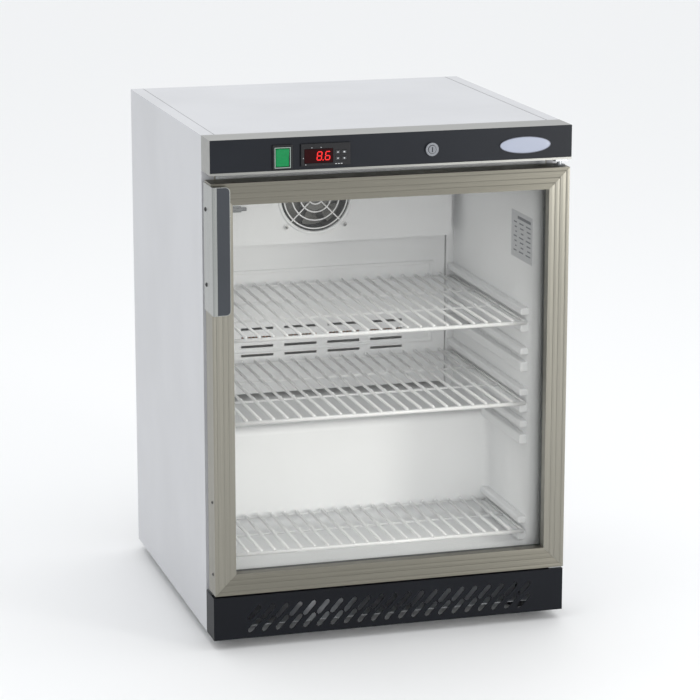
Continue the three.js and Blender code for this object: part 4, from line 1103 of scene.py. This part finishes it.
def build_compressor():
    low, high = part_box("compressor")
    x, y = (low.x + high.x) / 2, (low.y + high.y) / 2
    base, top = low.z, high.z
    radius = (high.y - low.y) / 2

    def shell(bm):
        profile = [(radius * share, height * MM) for share, height in SHELL]
        shoulder = top - base - DOME
        for turn in range(0, 90, 10):
            angle = math.radians(turn)
            profile.append((radius * SHOULDER * math.cos(angle), shoulder + DOME * math.sin(angle)))
        profile.append((0, top - base))
        add_lathe(bm, profile, (x, y, base), "z", 72)

    make_piece("compressor_shell", shell, "black_enamel", "cabinet", replaces=("compressor",), smooth=True)

    def plate(bm):
        add_box(bm, (low.x, y - PLATE_HALF, base + 0.2 * MM), (high.x, y + PLATE_HALF, base + 4 * MM))

    make_piece("compressor_plate", plate, "black_enamel", "cabinet", bevel=(2 * MM, 3))
    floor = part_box("base_plate")[1][2]
    stretch = (base - floor) / MOUNT_HEIGHT
    for index, (sx, sy) in enumerate(((-1, -1), (1, -1), (-1, 1), (1, 1))):
        place = (x + sx * MOUNT_PLACE[0], y + sy * MOUNT_PLACE[1], floor)

        def mount(bm, place=place):
            add_lathe(bm, [(r * MM, h * MM * stretch) for r, h in MOUNT], place, "z", 32)

        make_piece(f"compressor_mount_{index + 1}", mount, "gasket_rubber", "cabinet")


FIN = 0.4 * MM
COIL_END = 18.5 * MM  # room for the tubes' bends beyond the fins
COIL_TUBE = 4.2 * MM
COIL_ROWS = 6
COIL_COLUMNS = 2
COIL_OVERHANG = 3 * MM
BEND_REACH = 14 * MM


def build_coil(node, fins):
    """A pack of thin fins with a tube that winds through it in two columns."""
    low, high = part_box(node)
    x0, x1 = low.x, high.x - COIL_END

    def coil(bm):
        for i in range(fins):
            x = x0 + (x1 - x0) * i / (fins - 1)
            add_box(bm, (x - FIN / 2, low.y, low.z), (x + FIN / 2, high.y, high.z))

    make_piece(node + "_fins", coil, "fin_aluminium", "cabinet", replaces=(node,))

    def tubes(bm):
        pitch = (high.z - low.z) / COIL_ROWS
        reach = min(pitch / 2, BEND_REACH)
        sides = (x0 - COIL_OVERHANG, x1 + COIL_OVERHANG)
        for column in range(COIL_COLUMNS):
            y = low.y + (high.y - low.y) * (column + 0.5) / COIL_COLUMNS
            points = []
            for row in range(COIL_ROWS):
                z = low.z + (row + 0.5) * pitch
                sign = 1 if row % 2 == 0 else -1
                start, end = sides[::sign]
                points += [(start, y, z), (end, y, z)]
                if row == COIL_ROWS - 1:
                    break
                for turn in (45, 90, 135):
                    angle = math.radians(turn)
                    rise = pitch / 2 * (1 - math.cos(angle))
                    points.append((end + sign * reach * math.sin(angle), y, z + rise))
            add_tube(bm, points, COIL_TUBE, 12)

    make_piece(node + "_tubes", tubes, "copper", "cabinet", smooth=True)


def build_lines():
    """Round refrigerant lines and the filter drier, along the centre lines of their CAD nodes."""
    for node in ("discharge_line", "suction_line", "filter_drier"):
        piece = frame["nodes"][node]
        recolour(piece, MATERIALS["copper"])
        weld_skin(piece)
        rounder = piece.modifiers.new("rounder", "SUBSURF")
        rounder.levels = 1
        rounder.render_levels = 1


# ---- Back: screws ------------------------------------------------------------

BACK_SCREW_INSET = 10 * MM


def build_back_screws():
    """Screws at the corners and the middles of the back panel's edges."""
    low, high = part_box("back_panel")
    inset = Vector((BACK_SCREW_INSET, 0.0, BACK_SCREW_INSET))
    middle = (low + high) / 2
    low, high = low + inset, high - inset
    places = [(x, z) for z in (low.z, middle.z, high.z) for x in (low.x, 0.0, high.x)]
    places.remove((0.0, middle.z))
    for index, (x, z) in enumerate(places):
        place_screw(f"back_screw_{index + 1}", (x, high.y - 0.2 * MM, z), "+y", 3.2 * MM, "cabinet")


# ---- Floor -------------------------------------------------------------------


def build_floor():
    mesh = bpy.data.meshes.new("floor")
    bm = bmesh.new()
    half = FLOOR_SIZE / 2
    outline = ((-half, -half), (half, -half), (half, half), (-half, half))
    bm.faces.new([bm.verts.new((x, y, 0.0)) for x, y in outline])
    bm.to_mesh(mesh)
    bm.free()
    nodes = Nodes("floor")
    nodes.set(Base_Color=(0.90, 0.90, 0.90, 1.0), Roughness=0.65)
    mesh.materials.append(nodes.material)
    floor = bpy.data.objects.new("floor", mesh)
    scene.collection.objects.link(floor)


make_camera()
make_lights()
build_floor()
dress_kept_nodes()
build_liner()
build_cover_bead()
build_shelves()
build_fan()
build_gasket()
build_handle()
build_display()
build_switch_rim()
build_top_seams()
build_key_marks()
build_badge()
build_data_plate()
build_compressor()
build_coil("evaporator_coil", 60)
build_coil("condenser", 44)
build_lines()
build_back_screws()
scene.view_settings.view_transform = "Standard"
scene.cycles.use_denoising = True
